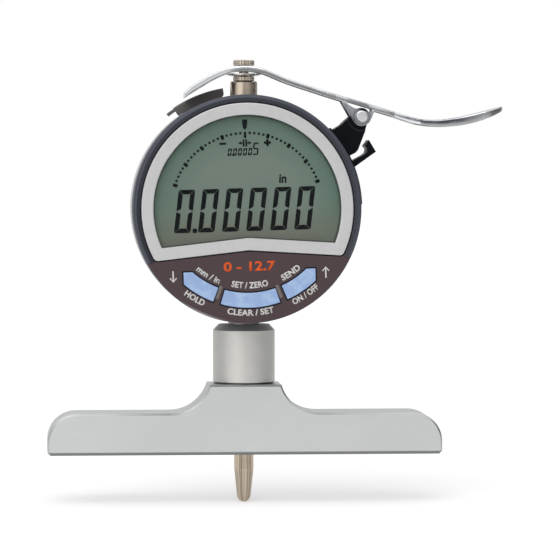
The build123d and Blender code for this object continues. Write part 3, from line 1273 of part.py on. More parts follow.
PIECES = {
    "base": base,
    "clamp_collar": clamp_collar,
    "collar_screw": collar_screw,
    "stem": stem,
    "lower_bush": lower_bush,
    "upper_bush": upper_bush,
    "upper_sleeve": upper_sleeve,
    "case_body": case_body,
    "case_back": case_back,
    "case_screws": case_screws,
    "battery_lid": battery_lid,
    "lid_screws": lid_screws,
    "battery": battery,
    "battery_contact_front": battery_contact_front,
    "battery_contact_rear": battery_contact_rear,
    "data_connector": data_connector,
    "data_port_cover": data_port_cover,
    "spindle": spindle,
    "contact_point": contact_point,
    "spindle_cap": spindle_cap,
    "dished_washer": dished_washer,
    "lifting_knob": lifting_knob,
    "scale_carrier": scale_carrier,
    "carrier_screw": carrier_screw,
    "guide_pin": guide_pin,
    "guide_rail": guide_rail,
    "rail_screws": rail_screws,
    "main_scale": main_scale,
    "detector": detector,
    "main_board": main_board,
    "board_screws": board_screws,
    "spring_post": spring_post,
    "return_spring": return_spring,
    "lifting_lever": lifting_lever,
    "lever_pin": lever_pin,
    "lever_bracket": lever_bracket,
    "bracket_screws": bracket_screws,
    "bezel": bezel,
    "display_frame": display_frame,
    "display_lens": display_lens,
    "lcd_panel": lcd_panel,
    "lcd_holder": lcd_holder,
    "zebra_strip_upper": lambda: zebra_strip(ZEBRA_UPPER_HALF, ZEBRA_UPPER_FOOT),
    "zebra_strip_lower": lambda: zebra_strip(ZEBRA_LOWER_HALF, ZEBRA_LOWER_FOOT),
    "display_board": display_board,
    "key_mat": key_mat,
    "key_left": lambda: key(-1),
    "key_centre": lambda: key(0),
    "key_right": lambda: key(1),
    "face_back": face_back,
    "face_screws": face_screws,
    "retaining_ring": retaining_ring,
}


def as_shape(made):
    """One shape to write: a single piece, or a group of separate like pieces."""
    if isinstance(made, list):
        return Compound(children=[solid for piece in made for solid in piece.solids()])
    solids = made.solids()
    return solids[0] if len(solids) == 1 else Compound(children=list(solids))


os.makedirs("parts", exist_ok=True)
for name, make in PIECES.items():
    export_step(as_shape(make()), f"parts/{name}.step")
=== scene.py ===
"""A round digital gauge head on a flat bridge base, dressed and lit for a studio picture."""

from __future__ import annotations

import json
import logging
import math
from dataclasses import dataclass, field
from enum import Enum
from typing import Callable, Iterable

import bpy
from mathutils import Matrix, Vector

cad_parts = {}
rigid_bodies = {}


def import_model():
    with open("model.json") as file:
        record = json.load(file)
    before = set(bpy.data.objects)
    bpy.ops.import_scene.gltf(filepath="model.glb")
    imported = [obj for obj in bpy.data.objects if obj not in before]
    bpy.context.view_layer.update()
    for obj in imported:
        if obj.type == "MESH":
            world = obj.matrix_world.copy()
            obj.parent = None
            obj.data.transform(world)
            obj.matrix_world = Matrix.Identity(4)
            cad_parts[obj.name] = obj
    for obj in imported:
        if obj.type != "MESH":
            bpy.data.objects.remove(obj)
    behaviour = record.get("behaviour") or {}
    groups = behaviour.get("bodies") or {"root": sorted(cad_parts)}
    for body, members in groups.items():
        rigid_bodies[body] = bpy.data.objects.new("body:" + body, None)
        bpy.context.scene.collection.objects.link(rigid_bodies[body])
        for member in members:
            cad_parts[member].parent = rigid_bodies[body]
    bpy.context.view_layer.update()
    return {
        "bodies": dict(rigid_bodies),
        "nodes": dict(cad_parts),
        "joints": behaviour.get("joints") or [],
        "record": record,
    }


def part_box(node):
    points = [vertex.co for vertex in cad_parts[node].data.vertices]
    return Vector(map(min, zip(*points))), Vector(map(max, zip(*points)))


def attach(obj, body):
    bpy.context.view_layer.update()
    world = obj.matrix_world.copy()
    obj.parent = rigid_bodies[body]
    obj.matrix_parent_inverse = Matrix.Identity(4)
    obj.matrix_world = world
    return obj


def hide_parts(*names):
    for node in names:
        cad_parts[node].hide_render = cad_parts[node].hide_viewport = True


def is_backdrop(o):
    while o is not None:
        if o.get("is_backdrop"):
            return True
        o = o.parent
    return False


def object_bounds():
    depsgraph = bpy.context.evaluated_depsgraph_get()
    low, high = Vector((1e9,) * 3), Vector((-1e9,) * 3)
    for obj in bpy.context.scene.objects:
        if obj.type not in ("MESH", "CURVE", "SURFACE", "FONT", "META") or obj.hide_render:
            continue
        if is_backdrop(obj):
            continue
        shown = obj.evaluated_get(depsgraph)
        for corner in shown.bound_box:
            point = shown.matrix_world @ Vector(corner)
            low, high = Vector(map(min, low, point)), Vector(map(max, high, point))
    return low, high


MM = 0.001
Colour = tuple[float, float, float]
Outline = list[tuple[float, float]]
Band = tuple[float, float, float]
Line = tuple[tuple[float, float, float], ...]
BLACK: Colour = (0.0, 0.0, 0.0)
WHITE: Colour = (1.0, 1.0, 1.0)
SOFT_CORNER = 0.22
log = logging.getLogger("gauge")


def tone(red: int, green: int, blue: int) -> Colour:
    """Turns a colour of 0 to 255, as a picture stores it, into linear light.

    Args:
        red: The red part.
        green: The green part.
        blue: The blue part.

    Returns:
        The same colour as three linear shares.
    """
    def linear(value: int) -> float:
        """One part in linear light."""
        share = value / 255
        return share / 12.92 if share <= 0.04045 else ((share + 0.055) / 1.055) ** 2.4

    return linear(red), linear(green), linear(blue)


def dimmed(colour: Colour, share: float) -> Colour:
    """A colour at a share of its light."""
    return tuple(share * part for part in colour)


def operator(operation: str, turned: bool = False) -> Callable[[Wire, Wire | float], Wire]:
    """A method that works on a wire and another value.

    Args:
        operation: The Math node's operation.
        turned: Whether the other value comes first.

    Returns:
        The method.
    """
    def method(wire: Wire, other: Wire | float) -> Wire:
        """The node's result for the two values."""
        first, second = (Wire(wire.shader, other), wire) if turned else (wire, other)
        return first.math(operation, second)

    return method


class Wire:
    """A value in a material that Python's operators work on."""

    __add__ = __radd__ = operator("ADD")
    __sub__ = operator("SUBTRACT")
    __rsub__ = operator("SUBTRACT", turned=True)
    __mul__ = __rmul__ = operator("MULTIPLY")
    __truediv__ = operator("DIVIDE")
    __pow__ = operator("POWER")
    __gt__ = operator("GREATER_THAN")
    __lt__ = operator("LESS_THAN")
    angle = operator("ARCTAN2")
    most = operator("MAXIMUM")

    def __init__(self, shader: Shader, source: bpy.types.NodeSocket | float) -> None:
        """Keeps the socket, or the plain number, that gives the value."""
        self.shader = shader
        self.source = source

    def math(self, operation: str, *others: Wire | float, clamp: bool = False) -> Wire:
        """Adds one Math node.

        Args:
            operation: The node's operation.
            others: The values after this one.
            clamp: Whether the result stays from 0 to 1.

        Returns:
            The node's result.
        """
        values = dict(enumerate((self, *others)))
        node = self.shader.node("ShaderNodeMath", {"operation": operation, "use_clamp": clamp}, values)
        return Wire(self.shader, node.outputs[0])

    def __abs__(self) -> Wire:
        """The value without its sign."""
        return self.math("ABSOLUTE")

    def sine(self) -> Wire:
        """The sine of the value, in radians."""
        return self.math("SINE")

    def bell(self, middle: Wire | float, reach: float) -> Wire:
        """1 at a middle value, falling to 0 on both sides of it.

        Args:
            middle: Where the result is 1.
            reach: How far from there it is 0.

        Returns:
            The bell's value.
        """
        return (1 - abs(self - middle) / reach).clamped().step(0.0, 1.0)

    def clamped(self) -> Wire:
        """The value kept from 0 to 1."""
        return self.math("ADD", 0.0, clamp=True)

    def step(self, low: float, high: float) -> Wire:
        """A soft step.

        Args:
            low: Where the step starts, at 0.
            high: Where it ends, at 1.

        Returns:
            The stepped value.
        """
        node = self.shader.node(
            "ShaderNodeMapRange", {"interpolation_type": "SMOOTHSTEP"},
            {"Value": self, "From Min": low, "From Max": high})
        return Wire(self.shader, node.outputs["Result"])


class Shader:
    """The nodes of one material, or of the room's light, added in order."""

    def __init__(self, name: str, world: bool = False) -> None:
        """Starts an empty set of nodes.

        Args:
            name: The name of what holds them.
            world: Whether that is a world, and not a material.
        """
        store = bpy.data.worlds if world else bpy.data.materials
        self.owner = store.new(name)
        self.owner.use_nodes = True
        self.tree = self.owner.node_tree
        self.tree.nodes.clear()

    def node(self, kind: str, settings: dict[str, object] | None = None,
             sockets: dict[str | int, object] | None = None) -> bpy.types.Node:
        """Adds a node.

        Args:
            kind: The node's type.
            settings: What is set on the node itself first, with a ramp's stops under "stops".
            sockets: The value or the link of each input, by name or place.

        Returns:
            The new node.
        """
        made = self.tree.nodes.new(kind)
        for name, value in (settings or {}).items():
            if name == "stops":
                self._set_stops(made.color_ramp, value)
            else:
                setattr(made, name, value)
        for name, value in (sockets or {}).items():
            self._feed(made.inputs[name], value)
        return made

    @staticmethod
    def _set_stops(ramp: bpy.types.ColorRamp, stops: Iterable[tuple[float, Colour]]) -> None:
        """Gives a ramp its stops, as (place, colour) pairs."""
        while len(ramp.elements) > 1:
            ramp.elements.remove(ramp.elements[-1])
        for index, (place, colour) in enumerate(stops):
            element = ramp.elements[0] if index == 0 else ramp.elements.new(place)
            element.position = place
            element.color = (*colour, 1.0)

    def _feed(self, socket: bpy.types.NodeSocket, value: object) -> None:
        """Links or sets one input.

        Args:
            socket: The input.
            value: A wire, a socket, a number, a colour or a vector.
        """
        if isinstance(value, Wire):
            value = value.source
        if isinstance(value, bpy.types.NodeSocket):
            self.tree.links.new(value, socket)
        elif socket.type == "RGBA" and len(value) == 3:
            socket.default_value = (*value, 1.0)
        else:
            socket.default_value = value

    def place(self) -> bpy.types.NodeSocket:
        """The point on the object, in metres."""
        return self.node("ShaderNodeTexCoord").outputs["Object"]

    def axes(self, point: bpy.types.NodeSocket | None = None) -> tuple[Wire, Wire, Wire]:
        """A point's three parts.

        Args:
            point: The point, or None for the point on the object.

        Returns:
            Its x, y and z.
        """
        node = self.node("ShaderNodeSeparateXYZ", None, {0: point or self.place()})
        return tuple(Wire(self, output) for output in node.outputs)

    def stretched(self, x: float, y: float, z: float) -> bpy.types.NodeSocket:
        """The point on the object with each axis scaled, to draw a pattern out along one."""
        node = self.node("ShaderNodeVectorMath", {"operation": "MULTIPLY"}, {0: self.place(), 1: (x, y, z)})
        return node.outputs[0]

    def noise(self, grain: float, detail: float = 2.0, point: bpy.types.NodeSocket | None = None) -> Wire:
        """Cloudy noise.

        Args:
            grain: The size of its patches, in millimetres.
            detail: How many finer layers it has.
            point: Where it is read, or None for the point on the object.

        Returns:
            A value from 0 to 1.
        """
        node = self.node("ShaderNodeTexNoise", None, {
            "Vector": point or self.place(), "Scale": 1 / (grain * MM), "Detail": detail})
        return Wire(self, node.outputs["Fac"])

    def blend(self, share: Wire | float, low: object, high: object) -> bpy.types.NodeSocket:
        """A mix of two colours.

        Args:
            share: 0 for the first and 1 for the second.
            low: The first colour.
            high: The second colour.

        Returns:
            The mixed colour.
        """
        node = self.node("ShaderNodeMix", {"data_type": "RGBA"}, {0: share, 6: low, 7: high})
        return node.outputs[2]

    def bump(self, height: Wire, depth: float, strength: float = 1.0) -> bpy.types.NodeSocket:
        """A normal that follows a height.

        Args:
            height: The height, from 0 to 1.
            depth: What a height of 1 stands for, in millimetres.
            strength: How much of it is used.

        Returns:
            The bent normal.
        """
        node = self.node("ShaderNodeBump", None,
                         {"Height": height, "Distance": depth * MM, "Strength": strength})
        return node.outputs[0]

    def surface(self, shader: bpy.types.NodeSocket) -> bpy.types.Material:
        """Ends the material with what it shows.

        Args:
            shader: The shader's output.

        Returns:
            The finished material.
        """
        self.node("ShaderNodeOutputMaterial", None, {"Surface": shader})
        return self.owner


def face_plane(shader: Shader, axis_z: float, tilt: float) -> tuple[Wire, Wire, Wire]:
    """The point on a piece of the rotating face, in the face's own frame.

    Args:
        shader: The material's nodes.
        axis_z: The height of the head axis, in metres.
        tilt: How far the face is turned, in degrees.

    Returns:
        The point across the display, up it and back from it.
    """
    x, depth, z = shader.axes()
    up = z - axis_z
    cos, sin = math.cos(math.radians(tilt)), math.sin(math.radians(tilt))
    return x * cos - up * sin, x * sin + up * cos, depth


@dataclass(frozen=True)
class Finish:
    """A plain finish, and what every finish has."""

    name: str
    colour: Colour
    roughness: float = 0.4
    metallic: float = 0.0
    coat: float = 0.0
    shine: float = 0.5
    grain: float = 0.4
    relief: float = 0.01

    def skin(self, shader: Shader, colour: object, dull: Wire, height: Wire,
             strength: float = 1.0) -> dict[str, object]:
        """The inputs for a colour, a change of gloss and a relief.

        Args:
            shader: The material's nodes.
            colour: The colour.
            dull: What is added to the roughness.
            height: The relief's height, from 0 to 1.
            strength: How much of the relief is used.

        Returns:
            The three inputs.
        """
        return {"Base Color": colour, "Roughness": (self.roughness + dull).clamped(),
                "Normal": shader.bump(height, self.relief, strength)}

    def sockets(self, shader: Shader) -> dict[str, object]:
        """What changes over the surface: a fine grain in its colour, gloss and relief.

        Args:
            shader: The material's nodes.

        Returns:
            The inputs of the surface shader that the finish feeds.
        """
        cloud = shader.noise(self.grain * 9, 3.0)
        shade = shader.blend(cloud, dimmed(self.colour, 0.9), self.colour)
        return self.skin(shader, shade, (cloud * 0.3 - 0.15) * self.roughness, shader.noise(self.grain))

    def material(self) -> bpy.types.Material:
        """The finish as a material."""
        shader = Shader(self.name)
        fixed = {
            "Base Color": self.colour, "Roughness": self.roughness, "Metallic": self.metallic,
            "Coat Weight": self.coat, "Coat Roughness": 0.08, "Specular IOR Level": self.shine,
        }
        node = shader.node("ShaderNodeBsdfPrincipled", None, fixed | self.sockets(shader))
        return shader.surface(node.outputs[0])


@dataclass(frozen=True)
class Ground(Finish):
    """Satin ground steel: short scratches along the piece and a faint cloudiness."""

    along: tuple[float, float, float] = (1.0, 1.0, 1.0)
    painted_shade_height: float = 0.0

    def sockets(self, shader: Shader) -> dict[str, object]:
        """The scratches' colour, gloss and relief, with painted shade along the lowest edge."""
        lines = shader.noise(self.grain, 3.0, shader.stretched(*self.along))
        cloud = shader.noise(18.0, 2.0)
        shade = shader.blend((lines * 0.5 + cloud * 0.5).clamped(), dimmed(self.colour, 0.8), self.colour)
        # The lowest edge is painted darker. This is painted shade: the dark that the chamfer mirrors from
        # the shadowed floor.
        if self.painted_shade_height > 0:
            height = shader.axes()[2]
            foot = 1 - height.step(self.painted_shade_height * MM * 0.8, self.painted_shade_height * MM * 1.15)
            shade = shader.blend(foot * 0.8, shade, dimmed(self.colour, 0.2))
        return self.skin(shader, shade, (lines - 0.5) * 0.16, lines, 0.6)


@dataclass(frozen=True)
class Turned(Finish):
    """Turned metal: fine rings round the spindle axis.

    A piece can have a painted shadow line at its foot, where it meets the part below, and a matt crown,
    whose heights are in metres.
    """

    ring: float = 0.22
    foot: float = 0.0
    crown: float = 1.0
    groove_shade: Colour = (0.02, 0.02, 0.02)

    def sockets(self, shader: Shader) -> dict[str, object]:
        """The rings' gloss and relief, a slight warm mottle, the painted shadow at the foot and the matt
        crown.
        """
        _, _, height = shader.axes()
        wander = shader.noise(2.4)
        rings = (height * (2 * math.pi / (self.ring * MM)) + wander * 3.0).sine() * 0.5 + 0.5
        cloud = shader.noise(3.0, 3.0)
        shade = shader.blend(cloud, dimmed(self.colour, 0.84), self.colour)
        # Below the foot the colour is painted near black: painted shadow where the piece meets the part
        # below.
        shade = shader.blend((height < self.foot) * 0.85, shade, self.groove_shade)
        matt = {"Metallic": self.metallic - (height > self.crown) * 0.25}
        return matt | self.skin(shader, shade, rings * 0.07 + (cloud - 0.5) * 0.1, rings, 0.5)


@dataclass(frozen=True)
class Cut(Finish):
    """Bright metal with cut grooves, with painted shade in them."""

    depth: float = 0.3
    groove_low: float = 0.2
    groove_high: float = 0.75
    least_dark: float = 0.55
    cloud_dark: float = 0.5

    def ridges(self, shader: Shader) -> Wire:
        """The height between the grooves, from 0 to 1."""
        raise NotImplementedError

    def sockets(self, shader: Shader) -> dict[str, object]:
        """The grooves' painted shade, gloss and relief."""
        ridge = self.ridges(shader)
        cloud = shader.noise(1.5)
        # The grooves are painted darker, as painted shade, by a share that varies with a cloud.
        painted_shade_and_matt = self.least_dark + cloud * self.cloud_dark
        groove_shade = (1 - ridge.step(self.groove_low, self.groove_high)) * painted_shade_and_matt
        shade = shader.blend(groove_shade.clamped(), self.colour, dimmed(self.colour, self.depth))
        return self.skin(shader, shade, (cloud - 0.5) * 0.1, ridge)


@dataclass(frozen=True)
class Fluted(Cut):
    """Uneven fine flutes that run along the spindle, their dark streaks painted shade and reflection."""

    streaks: float = 4.2

    def ridges(self, shader: Shader) -> Wire:
        """The flutes, by the direction out from the spindle axis."""
        outward = shader.node("ShaderNodeVectorMath", {"operation": "NORMALIZE"},
                              {0: shader.stretched(1.0, 1.0, 0.0)})
        return shader.noise(1 / (self.streaks * MM), 3.0, outward.outputs[0])


@dataclass(frozen=True)
class Knurled(Cut):
    """A knurl: two crossing sets of fine grooves round the spindle axis."""

    teeth: int = 26
    lead: float = 0.85

    def ridges(self, shader: Shader) -> Wire:
        """The knurl's points, where the ridges of both sets cross."""
        x, y, height = shader.axes()
        turn = y.angle(x) * self.teeth
        climb = height * (2 * math.pi / (self.lead * MM))
        return (turn + climb).sine() * (turn - climb).sine() * 0.5 + 0.5


@dataclass(frozen=True)
class Plated(Finish):
    """Plated sheet, pressed to a channel: bright along its bend, with painted reflection and shade as dark
    lines where its rim turns in, dark patches round the pivot and a darker ear.

    Its line gives the top of the sheet and the depth of its rim along the piece, in millimetres.
    """

    dark: Colour = BLACK
    ear_shade: Colour = BLACK
    ripple: float = 5.0
    pad_start: float = 38.5
    pad_fade: tuple[float, float] = (53.0, 62.0)
    nose_end: float = -3.0
    pivot: tuple[float, float] = (30.2, 86.9)
    pivot_reach: float = 14.0
    pin_edge: float = 2.0
    sway: float = 0.3
    arm_band: Band = (0.68, 0.4, 0.7)
    nose_bands: tuple[Band, Band] = ((0.42, 0.18, 0.35), (0.86, 0.22, 0.85))
    pad_band: Band = (0.38, 0.55, 1.0)
    top_band: Band = (0.1, 0.12, 0.7)
    line: Line = ()

    @staticmethod
    def painted_dark_line(fall: Wire, band: Band, sway: Wire | float = 0.0) -> Wire:
        """A painted dark line along the piece, standing for the reflection and shade along its rim.

        Args:
            fall: How far down the sheet's side a point is, from 0 to 1.
            band: The line's place, reach and depth.
            sway: How far the line strays.

        Returns:
            The line's depth.
        """
        place, reach, depth = band
        return fall.bell(sway + place, reach) * depth

    def along(self, shader: Shader, x: Wire, which: int) -> Wire:
        """One value of the line, read along the piece.

        Args:
            shader: The material's nodes.
            x: The place along the piece, in metres.
            which: 1 for the top's height and 2 for the rim's depth.

        Returns:
            The value, in metres.
        """
        first, last = self.line[0][0], self.line[-1][0]
        values = [point[which] for point in self.line]
        low, high = min(values), max(values)
        stops = [((point[0] - first) / (last - first), ((point[which] - low) / (high - low),) * 3)
                 for point in self.line]
        share = ((x / MM - first) / (last - first)).clamped()
        ramp = shader.node("ShaderNodeValToRGB", {"stops": stops}, {0: share})
        return (Wire(shader, ramp.outputs[0]) * (high - low) + low) * MM

    def sockets(self, shader: Shader) -> dict[str, object]:
        """The painted dark lines and patches of reflection and shade, the ripple's relief and faint handling
        marks.
        """
        x, _, z = shader.axes()
        fall = (self.along(shader, x, 1) - z) / self.along(shader, x, 2)
        slow = shader.noise(self.ripple, 1.0)
        marks = shader.noise(0.6, 4.0, shader.stretched(0.25, 1.0, 1.0))
        patch = shader.noise(2.8, 2.0, shader.stretched(1.0, 0.2, 0.4)).step(0.46, 0.56)
        on_pad = x.step((self.pad_start - 5) * MM, (self.pad_start + 5) * MM)
        on_nose = 1 - x.step((self.nose_end - 2) * MM, (self.nose_end + 2) * MM)
        near_pivot = x.bell(self.pivot[0] * MM, self.pivot_reach * MM)
        sway = (slow - 0.5) * self.sway
        # The nose's, arm's and pad's dark lines are painted reflection and shade along the rim.
        upper, lower = (self.painted_dark_line(fall, band) for band in self.nose_bands)
        arm_line = self.painted_dark_line(fall, self.arm_band, sway) * (1 - on_nose) + upper.most(lower) * on_nose
        pad_tip = x.step(self.pad_fade[0] * MM, self.pad_fade[1] * MM)
        pad_line = self.painted_dark_line(fall, self.pad_band, sway) * (1.05 - pad_tip * 0.65)
        line = arm_line * (1 - on_pad) + pad_line * on_pad
        # Dark patches round the pivot, as painted reflection.
        bend = near_pivot * patch * 0.65
        # A painted dark line just below the top, round the pivot, as painted shade.
        top = self.painted_dark_line(fall, self.top_band) * near_pivot
        matt = (on_nose * 0.8 + near_pivot * (1 - patch) * 0.5 + (1 - on_pad) * 0.15).clamped()
        shade = ((line * (0.55 + marks * 0.9)).most(bend).most(top) * (fall > 0.02)).clamped()
        pale = shader.blend(marks, dimmed(self.colour, 0.86), self.colour)
        across, up = x - self.pivot[0] * MM, z - self.pivot[1] * MM
        reach = (across * across + up * up) ** 0.5
        # The ear takes a darker tone of the same plating as painted shade. It also gets a painted shade ring
        # round the pin and a painted dark left edge.
        on_ear = fall.step(1.05, 1.3) * near_pivot.step(0.0, 0.1) * (1 - on_pad)
        ring = reach.bell(self.pin_edge * MM, 0.6 * MM) * 0.4
        left_edge_shade = (1 - (across + up * 0.55 + 2.4 * MM).step(-0.5 * MM, 0.5 * MM)) * 0.5
        cheek = shader.blend((patch * 0.2 + ring + left_edge_shade).clamped(), self.ear_shade, self.dark)
        shade_arm = shader.blend(shade, pale, self.dark)
        shade = shader.blend(on_ear, shade_arm, cheek)
        painted_shade_and_matt = {"Metallic": 1 - matt * (1 - on_ear)}
        return painted_shade_and_matt | self.skin(shader, shade, (marks - 0.5) * 0.14, slow + marks * 0.03)


@dataclass(frozen=True)
class Moulding(Finish):
    """Black moulding with a thin paler ring round the pivot."""

    pale_ring: Colour = BLACK
    pivot: tuple[float, float] = (30.2, 86.9)
    pale_ring_radius: float = 3.65
    pale_ring_width: float = 0.3

    def sockets(self, shader: Shader) -> dict[str, object]:
        """The grain, with the paler ring."""
        x, _, z = shader.axes()
        across, up = x - self.pivot[0] * MM, z - self.pivot[1] * MM
        ring = ((across * across + up * up) ** 0.5).bell(self.pale_ring_radius * MM, self.pale_ring_width * MM)
        fine = shader.noise(self.grain)
        shade = shader.blend(ring * (0.4 + fine * 0.6), self.colour, self.pale_ring)
        return self.skin(shader, shade, (fine - 0.5) * 0.2, fine)


@dataclass(frozen=True)
class KeyCap(Finish):
    """A clear blue key: paler patches in its cap, and its flange behind the panel painted dark, as the shade
    in the gap round the key.
    """

    pale: Colour = BLACK
    flange_shade: Colour = BLACK
    panel_y: float = 0.0

    def sockets(self, shader: Shader) -> dict[str, object]:
        """The cap's patches and its flange's painted shade."""
        _, depth, _ = shader.axes()
        patch = shader.noise(2.2, 3.0).step(0.42, 0.66)
        fine = shader.noise(self.grain)
        # Behind the panel's front the key is painted dark navy: painted shade seen through the gap.
        behind = depth > self.panel_y
        cap = shader.blend(patch * 0.8, self.colour, self.pale)
        return self.skin(shader, shader.blend(behind, cap, self.flange_shade), (fine - 0.5) * 0.1, fine)


@dataclass(frozen=True)
class FacePlate(Finish):
    """The rotating face: a slate ring, a darker inner slope and a brown-black panel."""

    slope: Colour = BLACK
    panel: Colour = BLACK
    glint: Colour = BLACK
    dirt: Colour = (0.01, 0.012, 0.016)
    axis_z: float = 0.0
    tilt: float = 0.0
    radius: float = 0.0
    crest: float = 0.9
    foot: float = 0.0
    roof: float = -10.8
    roof_slope: float = 5.0

    def sockets(self, shader: Shader) -> dict[str, object]:
        """Each zone's colour by its place on the face, with a fine moulded grain and a rough side whose pale
        speckle is a painted highlight.
        """
        x, up, _ = face_plane(shader, self.axis_z, self.tilt)
        reach = (x * x + up * up) ** 0.5
        fine = shader.noise(self.grain)
        coarse = shader.noise(self.grain * 3.5, 2.0)
        cloud = shader.noise(6.0, 2.0)
        inner = self.radius - self.crest * MM
        on_ring = reach.step(inner - 0.08 * MM, inner + 0.08 * MM)
        on_side = reach.step(self.radius - 0.3 * MM, self.radius - 0.1 * MM)
        fall = up + abs(x) * math.tan(math.radians(self.roof_slope))
        below = 1 - fall.step((self.roof - 0.05) * MM, (self.roof + 0.05) * MM)
        in_middle = 1 - reach.step(self.foot - 0.08 * MM, self.foot + 0.02 * MM)
        on_panel = (in_middle + below * (1 - on_side)).clamped()
        shade = shader.blend(on_ring, self.slope, self.colour)
        shade = shader.blend(on_panel, shade, self.panel)
        # The side's pale speckle is a painted highlight: the light that the rounded side catches.
        shade = shader.blend(on_side * coarse.step(0.5, 0.75) * 0.8, shade, dimmed(self.colour, 2.2))
        glint = reach.bell(self.radius - 0.3 * MM, 0.3 * MM) * x.bell(-12 * MM, 7 * MM) * (up < -15 * MM)
        shade = shader.blend(glint * 0.8, shade, self.glint)
        shade = shader.blend(cloud * 0.25, shade, self.dirt)
        dull = (on_panel + on_side + cloud - 0.5) * 0.12
        return self.skin(shader, shade, dull, fine + coarse * on_side * 3)


@dataclass(frozen=True)
class Crystal(Finish):
    """The display's grey-green ground: darker and greener towards its rim, as painted shade of its recess,
    with a painted shadow line inside the frame.
    """

    rim: Colour = BLACK
    low: Colour = BLACK
    line: Colour = BLACK
    axis_z: float = 0.0
    tilt: float = 0.0
    window: float = 0.0
    apex: float = -7.35
    roof_slope: float = 5.0

    def sockets(self, shader: Shader) -> dict[str, object]:
        """The ground's colour, from the middle to the painted shade at the rim and down to the lower edge,
        with the painted shadow line.
        """
        x, up, _ = face_plane(shader, self.axis_z, self.tilt)
        reach = (x * x + up * up) ** 0.5
        # far carries the painted shade of the recess, darker towards the rim.
        far = (reach / self.window).step(0.5, 1.0)
        below = 1 - up.step(-8 * MM, 3 * MM)
        speck = shader.noise(0.12, 1.0)
        cloud = shader.noise(9.0, 2.0)
        shade = shader.blend(far, self.colour, self.rim)
        shade = shader.blend(below * 0.8, shade, self.low)
        shade = shader.blend(cloud * 0.12, shade, self.line)
        # A painted shadow of the frame: a dark line inside the window's rim and along its lower edge.
        side = reach.step(self.window - 0.55 * MM, self.window - 0.1 * MM)
        rise = up + abs(x) * math.tan(math.radians(self.roof_slope))
        foot = 1 - rise.step((self.apex + 0.1) * MM, (self.apex + 0.45) * MM)
        shade = shader.blend(side.most(foot) * 0.75, shade, self.line)
        return {"Base Color": shader.blend(speck * 0.2, shade, dimmed(self.colour, 0.8)),
                "Roughness": (self.roughness + speck * 0.1).clamped()}


@dataclass(frozen=True)
class Window(Finish):
    """Clear moulded window: it lets all through and mirrors by its angle."""

    least: float = 0.02
    strength: float = 0.5

    def material(self) -> bpy.types.Material:
        """The window as a clear shader with a mirror over it."""
        shader = Shader(self.name)
        haze = shader.noise(8.0, 2.0)
        gloss = shader.node("ShaderNodeBsdfGlossy", None, {
            "Color": WHITE, "Roughness": self.roughness})
        clear = shader.node("ShaderNodeBsdfTransparent", None, {"Color": self.colour})
        slant = shader.node("ShaderNodeLayerWeight", None, {"Blend": 0.5})
        mirror = self.least + Wire(shader, slant.outputs["Facing"]) ** 5 * (1 - self.least)
        share = (mirror * (self.strength + haze * 0.1)).clamped()
        mix = shader.node("ShaderNodeMixShader", None, {0: share, 1: clear.outputs[0], 2: gloss.outputs[0]})
        return shader.surface(mix.outputs[0])


SOLID_NOSE = ((-16.0, 92.5, 1.04), (-15.4, 93.1, 1.05), (-13.5, 94.7, 1.1), (-11.3, 96.2, 1.14),
              (-9.2, 97.4, 1.19), (-7.15, 98.34, 1.24), (-5.1, 99.1, 1.28), (-3.0, 99.6, 1.33))
SEEN_NOSE = ((-16.0, 92.3, 1.25), (-15.4, 93.0, 1.5), (-13.5, 94.85, 2.0), (-11.3, 96.2, 2.05),
             (-9.2, 97.4, 1.95), (-7.15, 98.34, 1.79), (-5.1, 99.1, 1.6), (-3.0, 99.6, 1.33))
LEVER_LINE = (
    *SEEN_NOSE,
    (1.1, 99.9, 1.4), (5.25, 99.1, 1.4), (9.4, 97.4, 1.4), (13.5, 95.9, 1.4), (21.8, 93.2, 1.4),
    (30.0, 90.75, 1.4), (38.3, 88.3, 1.4), (42.4, 86.9, 1.4), (46.5, 86.1, 1.48), (50.7, 86.1, 1.87),
    (54.8, 86.65, 2.22), (58.9, 87.5, 2.3), (63.1, 88.55, 1.91), (67.2, 89.65, 1.1),
)

